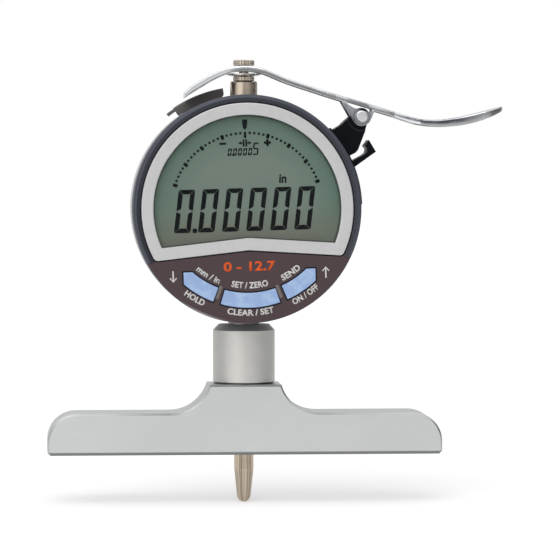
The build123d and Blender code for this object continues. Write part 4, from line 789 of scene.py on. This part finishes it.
FINISHES: dict[str, Finish] = {
    # The base's lowest 0.8 mm is painted darker, as painted shade.
    "base": Ground("ground_steel", tone(208, 210, 210), 0.42, 1.0, grain=0.25, relief=0.004,
                   along=(0.06, 1.0, 1.0), painted_shade_height=0.8),
    "stem": Turned("stem_steel", tone(170, 164, 158), 0.3, 1.0, relief=0.003),
    "nickel": Turned("warm_nickel", tone(208, 194, 176), 0.17, 1.0, relief=0.004, ring=0.18),
    # The contact's and the knurl's grooves are painted darker, as painted shade.
    "contact": Fluted("contact_nickel", tone(194, 179, 161), 0.16, 1.0, relief=0.015, depth=0.42,
                      groove_low=0.38, groove_high=0.6, least_dark=0.7, cloud_dark=0.4),
    "knurl": Knurled("knurled_nickel", tone(224, 212, 198), 0.2, 1.0, relief=0.03),
    "bright": Turned("bright_washer", tone(222, 222, 222), 0.15, 1.0, relief=0.002, ring=0.3),
    "pin": Turned("bright_pin", tone(222, 222, 226), 0.3, 0.7, relief=0.002, ring=0.3),
    # The dark and ear tones are painted shade: the lever's dark lines and its darker ear.
    "plated": Plated("plated_sheet", tone(234, 236, 238), 0.14, 1.0, relief=0.12, ripple=7.0,
                     dark=tone(96, 98, 105), ear_shade=tone(206, 209, 216), line=LEVER_LINE),
    "screw": Turned("screw_steel", tone(165, 165, 167), 0.3, 1.0, relief=0.002, ring=0.1),
    "brass": Turned("bush_brass", tone(205, 175, 110), 0.3, 1.0, relief=0.003),
    "case": Finish("gloss_case", tone(34, 36, 42), 0.2, coat=0.5, grain=0.3, relief=0.003),
    "bracket": Moulding("bracket_moulding", tone(2, 7, 14), 0.42, shine=0.1, grain=0.2, relief=0.01,
                        pale_ring=tone(58, 54, 62)),
    "rubber": Finish("port_rubber", tone(98, 94, 94), 0.72, shine=0.3, grain=0.15, relief=0.015),
    "silver": Finish("silver_frame", tone(202, 202, 202), 0.34, metallic=0.35, grain=0.12, relief=0.004),
    "mat": Finish("grey_rubber", tone(120, 120, 122), 0.7, grain=0.2),
    "holder": Finish("holder_moulding", tone(214, 214, 208), 0.5, grain=0.3),
    "board": Finish("circuit_board", tone(30, 96, 62), 0.4, coat=0.2, grain=0.4),
    "sheet": Finish("contact_sheet", tone(214, 196, 150), 0.3, 1.0, grain=0.3, relief=0.004),
    "sensor": Finish("sensor_moulding", tone(30, 30, 32), 0.5, grain=0.2),
    "scale": Finish("scale_glass", tone(196, 206, 202), 0.08, grain=0.6, relief=0.001),
    "cell": Ground("cell_steel", tone(190, 190, 190), 0.3, 1.0, grain=0.3, relief=0.003,
                   along=(1.0, 0.1, 1.0)),
    "white_ink": Finish("white_ink", tone(214, 212, 208), 0.55, shine=0.2, grain=0.1, relief=0.002),
    "rib": Finish("moulded_rib", tone(112, 102, 99), 0.4, shine=0.4, grain=0.2, relief=0.004),
    "orange_ink": Finish("orange_ink", tone(222, 88, 30), 0.5, shine=0.2, grain=0.1, relief=0.002),
    "liquid_ink": Finish("liquid_ink", tone(9, 14, 16), 0.6, shine=0.0, grain=0.2, relief=0.001),
}


class Bend(Enum):
    """How a line of letters lies on the face."""

    STRAIGHT = "straight"
    BELOW_AXIS = "below the head axis, its letters' tops towards it"


def deselect_all() -> None:
    """Leaves nothing selected, in object mode."""
    if bpy.context.object and bpy.context.object.mode != "OBJECT":
        bpy.ops.object.mode_set(mode="OBJECT")
    bpy.ops.object.select_all(action="DESELECT")


def name_new(name: str) -> bpy.types.Object:
    """Names the piece that was just added, and gives it back."""
    piece = bpy.context.object
    piece.name = name
    piece.data.name = name
    return piece


def pick(piece: bpy.types.Object, test: Callable[[Vector], bool]) -> None:
    """Selects points of a piece by their place, and leaves it in edit mode.

    Args:
        piece: The piece.
        test: Says whether a point is taken.
    """
    bpy.ops.object.mode_set(mode="EDIT")
    bpy.ops.mesh.select_mode(type="VERT")
    bpy.ops.mesh.select_all(action="DESELECT")
    bpy.ops.object.mode_set(mode="OBJECT")
    for point in piece.data.vertices:
        point.select = test(point.co)
    bpy.ops.object.mode_set(mode="EDIT")


def joined(pieces: list[bpy.types.Object], name: str) -> bpy.types.Object:
    """Joins pieces into one.

    Args:
        pieces: The pieces.
        name: The name of the whole.

    Returns:
        The whole.
    """
    deselect_all()
    for piece in pieces:
        piece.select_set(True)
    bpy.context.view_layer.objects.active = pieces[0]
    if len(pieces) > 1:
        bpy.ops.object.join()
    return name_new(name)


def copied(piece: bpy.types.Object, move: Matrix) -> bpy.types.Object:
    """A copy of a piece, with its own mesh, moved within it.

    Args:
        piece: The piece.
        move: The move.

    Returns:
        The copy.
    """
    twin = piece.copy()
    twin.data = piece.data.copy()
    twin.data.transform(move)
    bpy.context.scene.collection.objects.link(twin)
    return twin


def plate(name: str, width: float, height: float, cuts: Iterable[float] = ()) -> bpy.types.Object:
    """A flat plate with softened corners, centred on the origin.

    Args:
        name: Its name.
        width: Its width, in millimetres.
        height: Its height.
        cuts: How far its right side is cut back below, and above.

    Returns:
        The flat plate.
    """
    deselect_all()
    bpy.ops.mesh.primitive_plane_add(size=MM)
    piece = name_new(name)
    bpy.ops.object.mode_set(mode="EDIT")
    bpy.ops.transform.resize(value=(width, height, 1))
    for side, cut in zip((-1, 1), cuts):
        pick(piece, lambda place, side=side: place.x > 0 and place.y * side > 0)
        bpy.ops.transform.translate(value=(0, -side * cut * MM, 0))
    bpy.ops.mesh.select_all(action="SELECT")
    bpy.ops.mesh.bevel(offset=min(width, height) * SOFT_CORNER * MM, segments=2, affect="VERTICES")
    bpy.ops.object.mode_set(mode="OBJECT")
    return piece


@dataclass
class Face:
    """The rotating face's own frame: x to its right, y up its display, in millimetres."""

    tilt: float = -1.7
    axis_z: float = field(init=False)

    def __post_init__(self) -> None:
        """Finds the head axis in the frame."""
        low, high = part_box("bezel")
        self.axis_z = (low.z + high.z) / 2

    def at(self, depth: float) -> Matrix:
        """Where a mark drawn flat goes.

        Args:
            depth: The row's Y of the plane that it lies on, in metres.

        Returns:
            The move from the drawing to the face.
        """
        stand = Matrix.Rotation(math.radians(90), 4, "X")
        turn = Matrix.Rotation(math.radians(self.tilt), 4, "Y")
        return Matrix.Translation((0, depth, self.axis_z)) @ turn @ stand


@dataclass
class Marks:
    """Flat printed or liquid marks, drawn on the face's plane."""

    face: Face
    depth: float
    ink: str
    slot: str
    thickness: float = 0.03

    def bar(self, width: float, height: float, x: float = 0.0, y: float = 0.0,
            turn: float = 0.0) -> bpy.types.Object:
        """A small bar with softened corners.

        Args:
            width: Its width, in millimetres.
            height: Its height.
            x: Its middle, across.
            y: Its middle, up.
            turn: Its clock angle, in degrees, about the head axis.

        Returns:
            The flat bar.
        """
        piece = plate("bar", width, height)
        spin = Matrix.Rotation(math.radians(-turn), 4, "Z")
        piece.data.transform(spin @ Matrix.Translation((x * MM, y * MM, 0)))
        return piece

    def letters(self, words: str, height: float, x: float = 0.0, y: float = 0.0, width: float = 0.0,
                bold: float = 0.0, bend: Bend = Bend.STRAIGHT, turn: float = 0.0,
                lean: float = 0.0) -> bpy.types.Object:
        """A line of letters, centred on its place.

        Args:
            words: What it says.
            height: The height of a capital, in millimetres.
            x: Its middle, across.
            y: Its middle, up, or its middle's distance from the head axis where it bends.
            width: The line's width, or 0 for what the letters need.
            bold: How far each stroke is fattened, as a share of the height.
            bend: Whether the line bends round the head axis.
            turn: Its clock angle from straight down, in degrees, where it bends.
            lean: How far the letters lean to the right, as a slope.

        Returns:
            The flat letters.
        """
        deselect_all()
        bpy.ops.object.text_add()
        text = bpy.context.object
        text.data.body = words
        text.data.size = 1.0
        text.data.offset = bold
        text.data.resolution_u = 4
        bpy.ops.object.convert(target="MESH")
        piece = name_new("letters")
        xs = [point.co.x for point in piece.data.vertices]
        ys = [point.co.y for point in piece.data.vertices]
        scale = height / (max(ys) - min(ys))
        across = width / (max(xs) - min(xs)) if width > 0 else scale
        middle_x, middle_y = (max(xs) + min(xs)) / 2, (max(ys) + min(ys)) / 2
        for point in piece.data.vertices:
            up = (point.co.y - middle_y) * scale
            side = (point.co.x - middle_x) * across + up * lean
            if bend is Bend.STRAIGHT:
                point.co = ((side + x) * MM, (up + y) * MM, 0)
            else:
                angle = math.radians(turn) + side / y
                reach = y - up
                point.co = (reach * math.sin(angle) * MM, -reach * math.cos(angle) * MM, 0)
        return piece

    def shape(self, corners: Outline) -> bpy.types.Object:
        """A flat shape with straight sides.

        Args:
            corners: Its corners in order, in millimetres.

        Returns:
            The flat shape.
        """
        deselect_all()
        bpy.ops.mesh.primitive_circle_add(vertices=len(corners), radius=MM, fill_type="NGON")
        piece = name_new("shape")
        for point, (x, y) in zip(piece.data.vertices, corners):
            point.co = (x * MM, y * MM, 0)
        return piece

    def finish(self, pieces: list[bpy.types.Object], name: str, body: str) -> bpy.types.Object:
        """Joins marks, stands them on the face and inks them.

        Args:
            pieces: The flat marks.
            name: The name of the whole.
            body: The body that it moves with.

        Returns:
            The finished piece.
        """
        whole = joined(pieces, name)
        wall = whole.modifiers.new("thickness", "SOLIDIFY")
        wall.thickness = self.thickness * MM
        wall.offset = 0.0
        bpy.ops.object.modifier_apply(modifier=wall.name)
        bpy.ops.object.mode_set(mode="EDIT")
        bpy.ops.mesh.select_all(action="SELECT")
        bpy.ops.mesh.normals_make_consistent(inside=False)
        bpy.ops.object.mode_set(mode="OBJECT")
        whole.data.transform(self.face.at(self.depth))
        whole.data.materials.clear()
        whole.data.materials.append(FINISHES[self.ink].material())
        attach(whole, body)
        log.info("%s: %d faces", name, len(whole.data.polygons))
        return whole


@dataclass
class LeverSheet:
    """The lever, with the deep rim that its nose shows, in place of the solid's shallower one."""

    node: bpy.types.Object
    solid: Line = SOLID_NOSE
    seen: Line = SEEN_NOSE
    sheet: float = 0.75

    @staticmethod
    def between(line: Line, x: float) -> tuple[float, float]:
        """The top and the rim's depth at a place along the nose, in millimetres."""
        for (x0, top0, rim0), (x1, top1, rim1) in zip(line, line[1:]):
            if x <= x1:
                share = max(0.0, (x - x0) / (x1 - x0))
                return top0 + (top1 - top0) * share, rim0 + (rim1 - rim0) * share
        return line[-1][1], line[-1][2]

    def lowered(self, x: float, z: float) -> float:
        """The height that a point of the nose is given, in millimetres."""
        top, rim = self.between(self.solid, x)
        new_top, new_rim = self.between(self.seen, x)
        below = top - z - self.sheet
        if below <= 0:
            return z + new_top - top
        return new_top - self.sheet - below * (new_rim - self.sheet) / (rim - self.sheet)

    def build(self) -> bpy.types.Object:
        """Makes the lever from a copy of its node.

        Returns:
            The finished lever.
        """
        whole = bpy.data.objects.new("lever_sheet", self.node.data.copy())
        bpy.context.scene.collection.objects.link(whole)
        whole = joined([whole], "lever_sheet")
        end = self.solid[-1][0] * MM
        for point in whole.data.vertices:
            if point.co.x < end:
                point.co.z = self.lowered(point.co.x / MM, point.co.z / MM) * MM
        whole.data.materials.clear()
        whole.data.materials.append(FINISHES["plated"].material())
        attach(whole, "lever")
        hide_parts("lifting_lever")
        log.info("lever_sheet: %d faces", len(whole.data.polygons))
        return whole


@dataclass(frozen=True)
class FigureSize:
    """The sizes of a row of seven-segment figures, in millimetres."""

    width: float
    height: float
    stroke: float
    pitch: float = 0.0


@dataclass
class Reading:
    """The display's dark segments: six leaning figures, a dotted arc and small signs."""

    face: Face
    large: FigureSize = FigureSize(4.2, 10.95, 1.16, 6.13)
    small: FigureSize = FigureSize(0.95, 1.85, 0.34, 1.3)
    tall: FigureSize = FigureSize(1.45, 3.1, 0.36)
    gap: float = 0.08
    lean: float = 0.145
    arc_radius: float = 19.35
    tick_step: float = 17.55
    dots_between: int = 4
    divisions: int = 4
    sign_y: float = 16.78

    def __post_init__(self) -> None:
        """Lays the marks just in front of the display cell."""
        self.marks = Marks(self.face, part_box("lcd_panel")[0].y - 0.03 * MM, "liquid_ink", "lcd_grey")

    def figure(self, lit: str, size: FigureSize) -> list[bpy.types.Object]:
        """The strokes of one figure, centred on the origin.

        Args:
            lit: The letters of its dark segments: a at the top, then clockwise to f, and g between.
            size: Its sizes.

        Returns:
            The flat strokes.
        """
        stroke = size.stroke
        gap = self.gap * stroke / self.large.stroke
        side = plate("segment", stroke, size.height / 2 - gap, (stroke * 0.5, stroke))
        end = plate("segment", stroke, size.width - 2 * gap, (stroke, stroke))
        middle = plate("segment", stroke, size.width - stroke - 2 * gap)
        turned = Matrix.Rotation(math.radians(180), 4, "Z")
        flat = Matrix.Rotation(math.radians(-90), 4, "Z")
        flip_y = Matrix.Diagonal((1, -1, 1, 1))

        def moved(x: float, y: float) -> Matrix:
            """A move in millimetres."""
            return Matrix.Translation((x * MM, y * MM, 0))

        inset, top, quarter = (size.width - stroke) / 2, (size.height - stroke) / 2, size.height / 4
        places = {
            "a": (end, moved(0, top) @ flat),
            "b": (side, moved(inset, quarter) @ turned @ flip_y),
            "c": (side, moved(inset, -quarter) @ turned),
            "d": (end, moved(0, -top) @ flat.inverted()),
            "e": (side, moved(-inset, -quarter) @ flip_y),
            "f": (side, moved(-inset, quarter)),
            "g": (middle, flat),
        }
        made = [copied(*places[letter]) for letter in lit]
        for spare in (side, end, middle):
            bpy.data.objects.remove(spare)
        return made

    def number(self, figures: str, size: FigureSize, x: float, y: float) -> list[bpy.types.Object]:
        """A row of leaning figures.

        Args:
            figures: The figures, each 0 or 5.
            size: Their sizes.
            x: The first figure's middle, across.
            y: The figures' middle, up.

        Returns:
            The flat strokes.
        """
        lit = {"0": "abcdef", "5": "afgcd"}
        slope = Matrix.Identity(4)
        slope[0][1] = self.lean
        made = []
        for index, figure in enumerate(figures):
            place = Matrix.Translation(((x + index * size.pitch) * MM, y * MM, 0))
            for stroke in self.figure(lit[figure], size):
                stroke.data.transform(place @ slope)
                made.append(stroke)
        return made

    def large_number(self) -> bpy.types.Object:
        """The six large figures and their point."""
        made = self.number("000000", self.large, -15.96, -0.15)
        made.append(self.marks.bar(1.15, 1.1, -13.5, -5.15))
        return self.marks.finish(made, "display_figures", "face")

    def small_number(self) -> bpy.types.Object:
        """The small resolution figures, the last one taller."""
        made = self.number("00000", self.small, -4.0, 14.55) + self.number("5", self.tall, 2.65, 15.25)
        made.append(self.marks.bar(0.36, 0.36, -3.33, 13.75))
        return self.marks.finish(made, "display_small_figures", "face")

    def arc(self) -> bpy.types.Object:
        """The arc of dots with a longer tick at each division."""
        each = self.dots_between + 1
        step = self.tick_step / each
        made = []
        for index in range(-self.divisions * each, self.divisions * each + 1):
            if index == 0:
                made.append(self.marks.bar(0.62, 1.6, 0, self.arc_radius - 0.55))
            elif index % each:
                made.append(self.marks.bar(0.6, 0.6, 0, self.arc_radius, index * step))
            else:
                made.append(self.marks.bar(0.85, 1.2, 0, self.arc_radius - 0.1, index * step))
        return self.marks.finish(made, "display_arc", "face")

    def signs(self) -> bpy.types.Object:
        """The pointer, the plus and minus signs and the sign between them."""
        bar, shape = self.marks.bar, self.marks.shape
        right = [(0.62, 22.75), (0.66, 21.7), (0.4, 20.5), (0.15, 20.2)]
        pointer = right + [(-x, y) for x, y in reversed(right)]
        middle = self.sign_y
        made = [
            shape(pointer),
            bar(1.75, 0.55, -5.75, 16.74),
            bar(1.8, 0.62, 5.65, 16.7),
            bar(0.64, 1.75, 5.65, 16.7),
            bar(0.44, 1.85, -0.42, middle),
            bar(0.44, 1.85, 0.24, middle),
        ]
        for side in (-1, 1):
            tip, root = side * 1.75 - 0.09, side * 0.95 - 0.09
            made.append(shape([(root, middle + 0.42), (tip, middle), (root, middle - 0.42)][::side]))
            made.append(bar(0.5, 0.28, side * 0.75 - 0.09, middle))
        return self.marks.finish(made, "display_signs", "face")

    def unit(self) -> bpy.types.Object:
        """The unit above the last figures."""
        made = [self.marks.letters("in", 2.2, 9.3, 7.45, width=1.85, bold=0.03, lean=0.1)]
        return self.marks.finish(made, "display_unit", "face")

    def build(self) -> None:
        """Makes all that the display shows."""
        self.large_number()
        self.small_number()
        self.arc()
        self.signs()
        self.unit()


@dataclass
class Legends:
    """What is printed on the lower panel: plain words at the keys, arrows and the stroke."""

    face: Face
    panel_step: float = 0.3
    letter_height: float = 1.65
    upper_radius: float = 19.6
    lower_radius: float = 26.35
    key_turn: float = 32.4
    arrow_length: float = 2.9
    arrow_stroke: float = 0.34
    arrow_head: float = 0.95
    arrow_arm: float = 0.26
    arrow_x: float = 19.43
    arrow_y: float = -16.65
    rib_width: float = 0.85
    rib_height: float = 3.5
    rib_reach: float = 22.4
    rib_turns: tuple[float, float] = (-19.2, 20.7)

    def __post_init__(self) -> None:
        """Lays the print on the panel's front."""
        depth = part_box("bezel")[0].y + (self.panel_step - 0.005) * MM
        self.moulded = Marks(self.face, depth, "rib", "bezel_grey", 0.12)
        self.white = Marks(self.face, depth, "white_ink", "frame_silver", 0.02)
        self.orange = Marks(self.face, depth, "orange_ink", "bezel_grey", 0.02)

    def words(self) -> bpy.types.Object:
        """The words above and below each key."""
        lines = [
            ("mm / in", self.upper_radius, -self.key_turn, 6.6),
            ("HOLD", self.lower_radius, -self.key_turn, 5.6),
            ("SET / ZERO", self.upper_radius - 0.2, 0.0, 9.3),
            ("CLEAR / SET", self.lower_radius, 0.0, 11.9),
            ("SEND", self.upper_radius, self.key_turn, 5.4),
            ("ON / OFF", self.lower_radius, self.key_turn, 7.6),
        ]
        made = [
            self.white.letters(words, self.letter_height, 0, radius, width, 0.034, Bend.BELOW_AXIS, turn)
            for words, radius, turn, width in lines
        ]
        return self.white.finish(made, "panel_words", "face")

    def arrows(self) -> bpy.types.Object:
        """An arrow down at the left and an arrow up at the right."""
        half, tip, head, arm = self.arrow_stroke / 2, self.arrow_length / 2, self.arrow_head, self.arrow_arm
        barb = tip - head * 1.1
        right = [(head, barb), (head - arm, barb - arm * 0.6), (half, tip - arm * 1.9), (half, -tip)]
        up_arrow = [(0.0, tip), *right, *[(-x, y) for x, y in reversed(right)]]
        made = [self.white.shape([(side * (x + self.arrow_x), side * y + self.arrow_y) for x, y in up_arrow])
                for side in (-1, 1)]
        return self.white.finish(made, "panel_arrows", "face")

    def stroke_figures(self) -> bpy.types.Object:
        """The gauge's travel in plain orange numbers."""
        made = [self.orange.letters("0 - 12.7", 2.5, 0.05, -14.55, width=13.2, bold=0.03)]
        return self.orange.finish(made, "panel_travel", "face")

    def ribs(self) -> bpy.types.Object:
        """The low rib between each two keys."""
        made = [self.moulded.bar(self.rib_width, self.rib_height, 0.0, -self.rib_reach, turn)
                for turn in self.rib_turns]
        return self.moulded.finish(made, "key_ribs", "face")

    def build(self) -> None:
        """Prints the panel and sets its ribs."""
        self.ribs()
        self.words()
        self.arrows()
        self.stroke_figures()


WEARERS: dict[str, tuple[str, ...]] = {
    "base": ("base",),
    "stem": ("stem", "spindle", "scale_carrier", "guide_rail"),
    "nickel": ("upper_sleeve",),
    "contact": ("contact_point",),
    "knurl": ("spindle_cap", "lifting_knob"),
    "bright": ("dished_washer",),
    "pin": ("lever_pin",),
    "plated": ("lifting_lever",),
    "screw": ("collar_screw", "case_screws", "lid_screws", "carrier_screw", "guide_pin", "rail_screws",
              "board_screws", "spring_post", "return_spring", "bracket_screws", "face_screws",
              "retaining_ring"),
    "brass": ("lower_bush", "upper_bush"),
    "case": ("case_body", "case_back", "battery_lid", "face_back"),
    "bracket": ("lever_bracket",),
    "rubber": ("data_port_cover",),
    "silver": ("display_frame",),
    "mat": ("zebra_strip_upper", "zebra_strip_lower", "key_mat"),
    "holder": ("lcd_holder",),
    "board": ("main_board", "display_board"),
    "sheet": ("battery_contact_front", "battery_contact_rear"),
    "sensor": ("data_connector", "detector"),
    "scale": ("main_scale",),
    "cell": ("battery",),
}


@dataclass
class Dressing:
    """The finish of each carried-over node."""

    frame: dict
    face: Face
    def special(self) -> dict[str, Finish]:
        """The finishes that need the head's own sizes.

        Returns:
            The finish of each node that has one.
        """
        low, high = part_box("bezel")
        frame_low, frame_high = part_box("display_frame")
        lens_low, lens_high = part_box("display_lens")
        place = {"axis_z": self.face.axis_z, "tilt": self.face.tilt}
        # The key's flange tone is painted shade, as seen through the gap round the key.
        key = KeyCap("blue_key", tone(146, 171, 214), 0.42, shine=0.4, grain=0.2, relief=0.006,
                     pale=tone(165, 191, 223), flange_shade=tone(22, 27, 58), panel_y=low.y + 0.6 * MM)
        return {
            # The collar's lowest 0.45 mm above the base is painted near black, as painted shadow.
            "clamp_collar": Turned(
                "turned_collar", tone(202, 201, 197), 0.4, 1.0, relief=0.003, ring=0.3,
                foot=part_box("base")[1].z + 0.45 * MM, crown=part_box("clamp_collar")[1].z - 1.7 * MM),
            "bezel": FacePlate(
                "slate_face", tone(63, 67, 79), 0.36, shine=0.4, grain=0.16, relief=0.006,
                slope=tone(35, 39, 51), panel=tone(68, 49, 53), glint=tone(170, 164, 166),
                radius=(high.x - low.x) / 2, foot=(frame_high.x - frame_low.x) / 2 + 0.2 * MM, **place),
            # rim and line are painted shade: the recess's darker rim and the frame's shadow line; line also
            # tints a faint mottle.
            "lcd_panel": Crystal(
                "display_ground", tone(124, 135, 126), 0.6, shine=0.0, rim=tone(104, 125, 113),
                low=tone(118, 116, 106), line=tone(48, 58, 56),
                window=(lens_high.x - lens_low.x) / 2 - 0.9 * MM, **place),
            "display_lens": Window("display_window", (0.97, 0.985, 0.98), 0.03),
            "key_left": key, "key_centre": key, "key_right": key,
        }

    def build(self) -> None:
        """Gives every node its finish."""
        made = {node: finish.material() for node, finish in self.special().items()}
        for finish, nodes in WEARERS.items():
            made |= dict.fromkeys(nodes, FINISHES[finish].material())
        for node, piece in self.frame["nodes"].items():
            material = made[node]
            for slot in piece.material_slots:
                slot.material = material
            log.info("%s: %s", node, material.name)


@dataclass
class Studio:
    """The floor, the light and the camera of the picture."""

    azimuth: float = -4.2
    elevation: float = 1.9
    distance: float = 0.9
    target: tuple[float, float, float] = (8.8, -8.0, 44.9)
    pixels_per_mm: float = 3.90
    picture: int = 560
    sensor: float = 36.0
    room_light: float = 0.64
    floor_radius: float = 6.0
    floor_rim: float = 2.0
    floor_glow: float = 0.34
    key_light: float = 1.4
    key_spread: float = 60.0
    key_direction: tuple[float, float, float] = (0.3, 0.85, -0.75)
    screen_radius: float = 0.75
    screen_low: float = -0.012
    screen_high: float = 0.55
    screen_tones: tuple[tuple[float, float], ...] = (
        (-180, 0.8), (-150, 0.7), (-110, 0.45), (-74, 0.5), (-50, 1.2), (-20, 1.2), (-4, 0.45), (20, 0.56),
        (44, 0.46), (64, 0.2), (110, 0.17), (145, 0.5), (180, 0.8))

    def camera(self) -> bpy.types.Object:
        """The camera, as far and as high as the photograph's."""
        turn, rise = math.radians(self.azimuth), math.radians(self.elevation)
        back = Vector((math.sin(turn) * math.cos(rise), -math.cos(turn) * math.cos(rise), math.sin(rise)))
        deselect_all()
        bpy.ops.object.camera_add(location=Vector(self.target) * MM + back * self.distance)
        camera = bpy.context.object
        camera.rotation_mode = "QUATERNION"
        camera.rotation_quaternion = (-back).to_track_quat("-Z", "Y")
        camera.data.sensor_width = self.sensor
        camera.data.lens = self.sensor * self.pixels_per_mm * self.distance / MM / self.picture
        camera.data.clip_start = 0.05
        bpy.context.scene.camera = camera
        return camera

    @staticmethod
    def seen_directly(shader: Shader) -> Wire:
        """1 for the rays that show the background: from the camera, a mirror or a window."""
        path = shader.node("ShaderNodeLightPath")
        names = ("Is Camera Ray", "Is Glossy Ray", "Is Transmission Ray")
        camera, glossy, through = (Wire(shader, path.outputs[name]) for name in names)
        return (camera + glossy + through).clamped()

    def floor(self) -> bpy.types.Object:
        """A pale floor under the contact point, that keeps the shadow."""
        low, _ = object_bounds()
        deselect_all()
        bpy.ops.mesh.primitive_circle_add(vertices=96, radius=self.floor_radius, fill_type="NGON")
        floor = name_new("floor")
        bpy.ops.object.mode_set(mode="EDIT")
        bpy.ops.mesh.select_all(action="SELECT")
        bpy.ops.mesh.inset(thickness=self.floor_rim)
        bpy.ops.object.mode_set(mode="OBJECT")
        floor.data.transform(Matrix.Translation((0, 0, low.z)))
        shader = Shader("pale_floor")
        paper = shader.noise(40.0, 2.0)
        node = shader.node("ShaderNodeBsdfPrincipled", None, {
            "Base Color": shader.blend(paper, (0.79, 0.79, 0.79), (0.81, 0.81, 0.81)),
            "Roughness": 0.9, "Specular IOR Level": 0.0, "Emission Strength": self.floor_glow,
            "Emission Color": shader.blend(self.seen_directly(shader), BLACK, WHITE)})
        floor.data.materials.append(shader.surface(node.outputs[0]))
        floor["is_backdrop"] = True
        return floor

    def room(self) -> None:
        """The soft white room, and a broad key light from the upper left."""
        shader = Shader("white_room", world=True)
        plain = (self.room_light,) * 3
        shade = shader.blend(self.seen_directly(shader), plain, WHITE)
        sky = shader.node("ShaderNodeBackground", None, {"Color": shade, "Strength": 1.0})
        shader.node("ShaderNodeOutputWorld", None, {"Surface": sky.outputs[0]})
        bpy.context.scene.world = shader.owner
        deselect_all()
        bpy.ops.object.light_add(type="SUN")
        key = bpy.context.object
        key.name = "key_light"
        key.data.energy = self.key_light
        key.data.angle = math.radians(self.key_spread)
        key.rotation_mode = "QUATERNION"
        key.rotation_quaternion = Vector(self.key_direction).to_track_quat("-Z", "Y")

    def screen(self) -> bpy.types.Object:
        """A round paper screen, paler and darker by turns, that only polished surfaces mirror.

        Returns:
            The screen.
        """
        deselect_all()
        height = self.screen_high - self.screen_low
        bpy.ops.mesh.primitive_cylinder_add(
            vertices=96, radius=self.screen_radius, depth=height, end_fill_type="NOTHING",
            location=(0, 0, (self.screen_high + self.screen_low) / 2))
        screen = name_new("paper_screen")
        bpy.ops.object.transform_apply(location=True, rotation=False, scale=False)
        bpy.ops.object.mode_set(mode="EDIT")
        bpy.ops.mesh.select_all(action="SELECT")
        bpy.ops.mesh.flip_normals()
        bpy.ops.object.mode_set(mode="OBJECT")
        shader = Shader("paper_screen")
        x, y, _ = shader.axes()
        share = (x.angle(0 - y) / (2 * math.pi) + 0.5).clamped()
        brightest = max(level for _, level in self.screen_tones)
        stops = [((angle + 180) / 360, (level / brightest,) * 3) for angle, level in self.screen_tones]
        ramp = shader.node("ShaderNodeValToRGB", {"stops": stops}, {0: share})
        node = shader.node("ShaderNodeBsdfPrincipled", None, {
            "Base Color": BLACK, "Roughness": 1.0, "Specular IOR Level": 0.0,
            "Emission Color": ramp.outputs[0], "Emission Strength": brightest})
        screen.data.materials.append(shader.surface(node.outputs[0]))
        for rays in ("camera", "diffuse", "transmission", "shadow"):
            setattr(screen, f"visible_{rays}", False)
        screen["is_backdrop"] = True
        return screen

    def build(self) -> None:
        """Sets the studio up."""
        scene = bpy.context.scene
        scene.view_settings.view_transform = "Standard"
        self.camera()
        self.floor()
        self.room()
        self.screen()
        log.info("studio: camera %.1f mm lens", scene.camera.data.lens)


def main() -> None:
    """Dresses the gauge, adds its print and sets the studio up."""
    logging.basicConfig(level=logging.INFO, format="%(name)s %(message)s")
    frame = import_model()
    face = Face()
    Dressing(frame, face).build()
    LeverSheet(frame["nodes"]["lifting_lever"]).build()
    Reading(face).build()
    Legends(face).build()
    Studio().build()


if __name__ == "__main__":
    main()
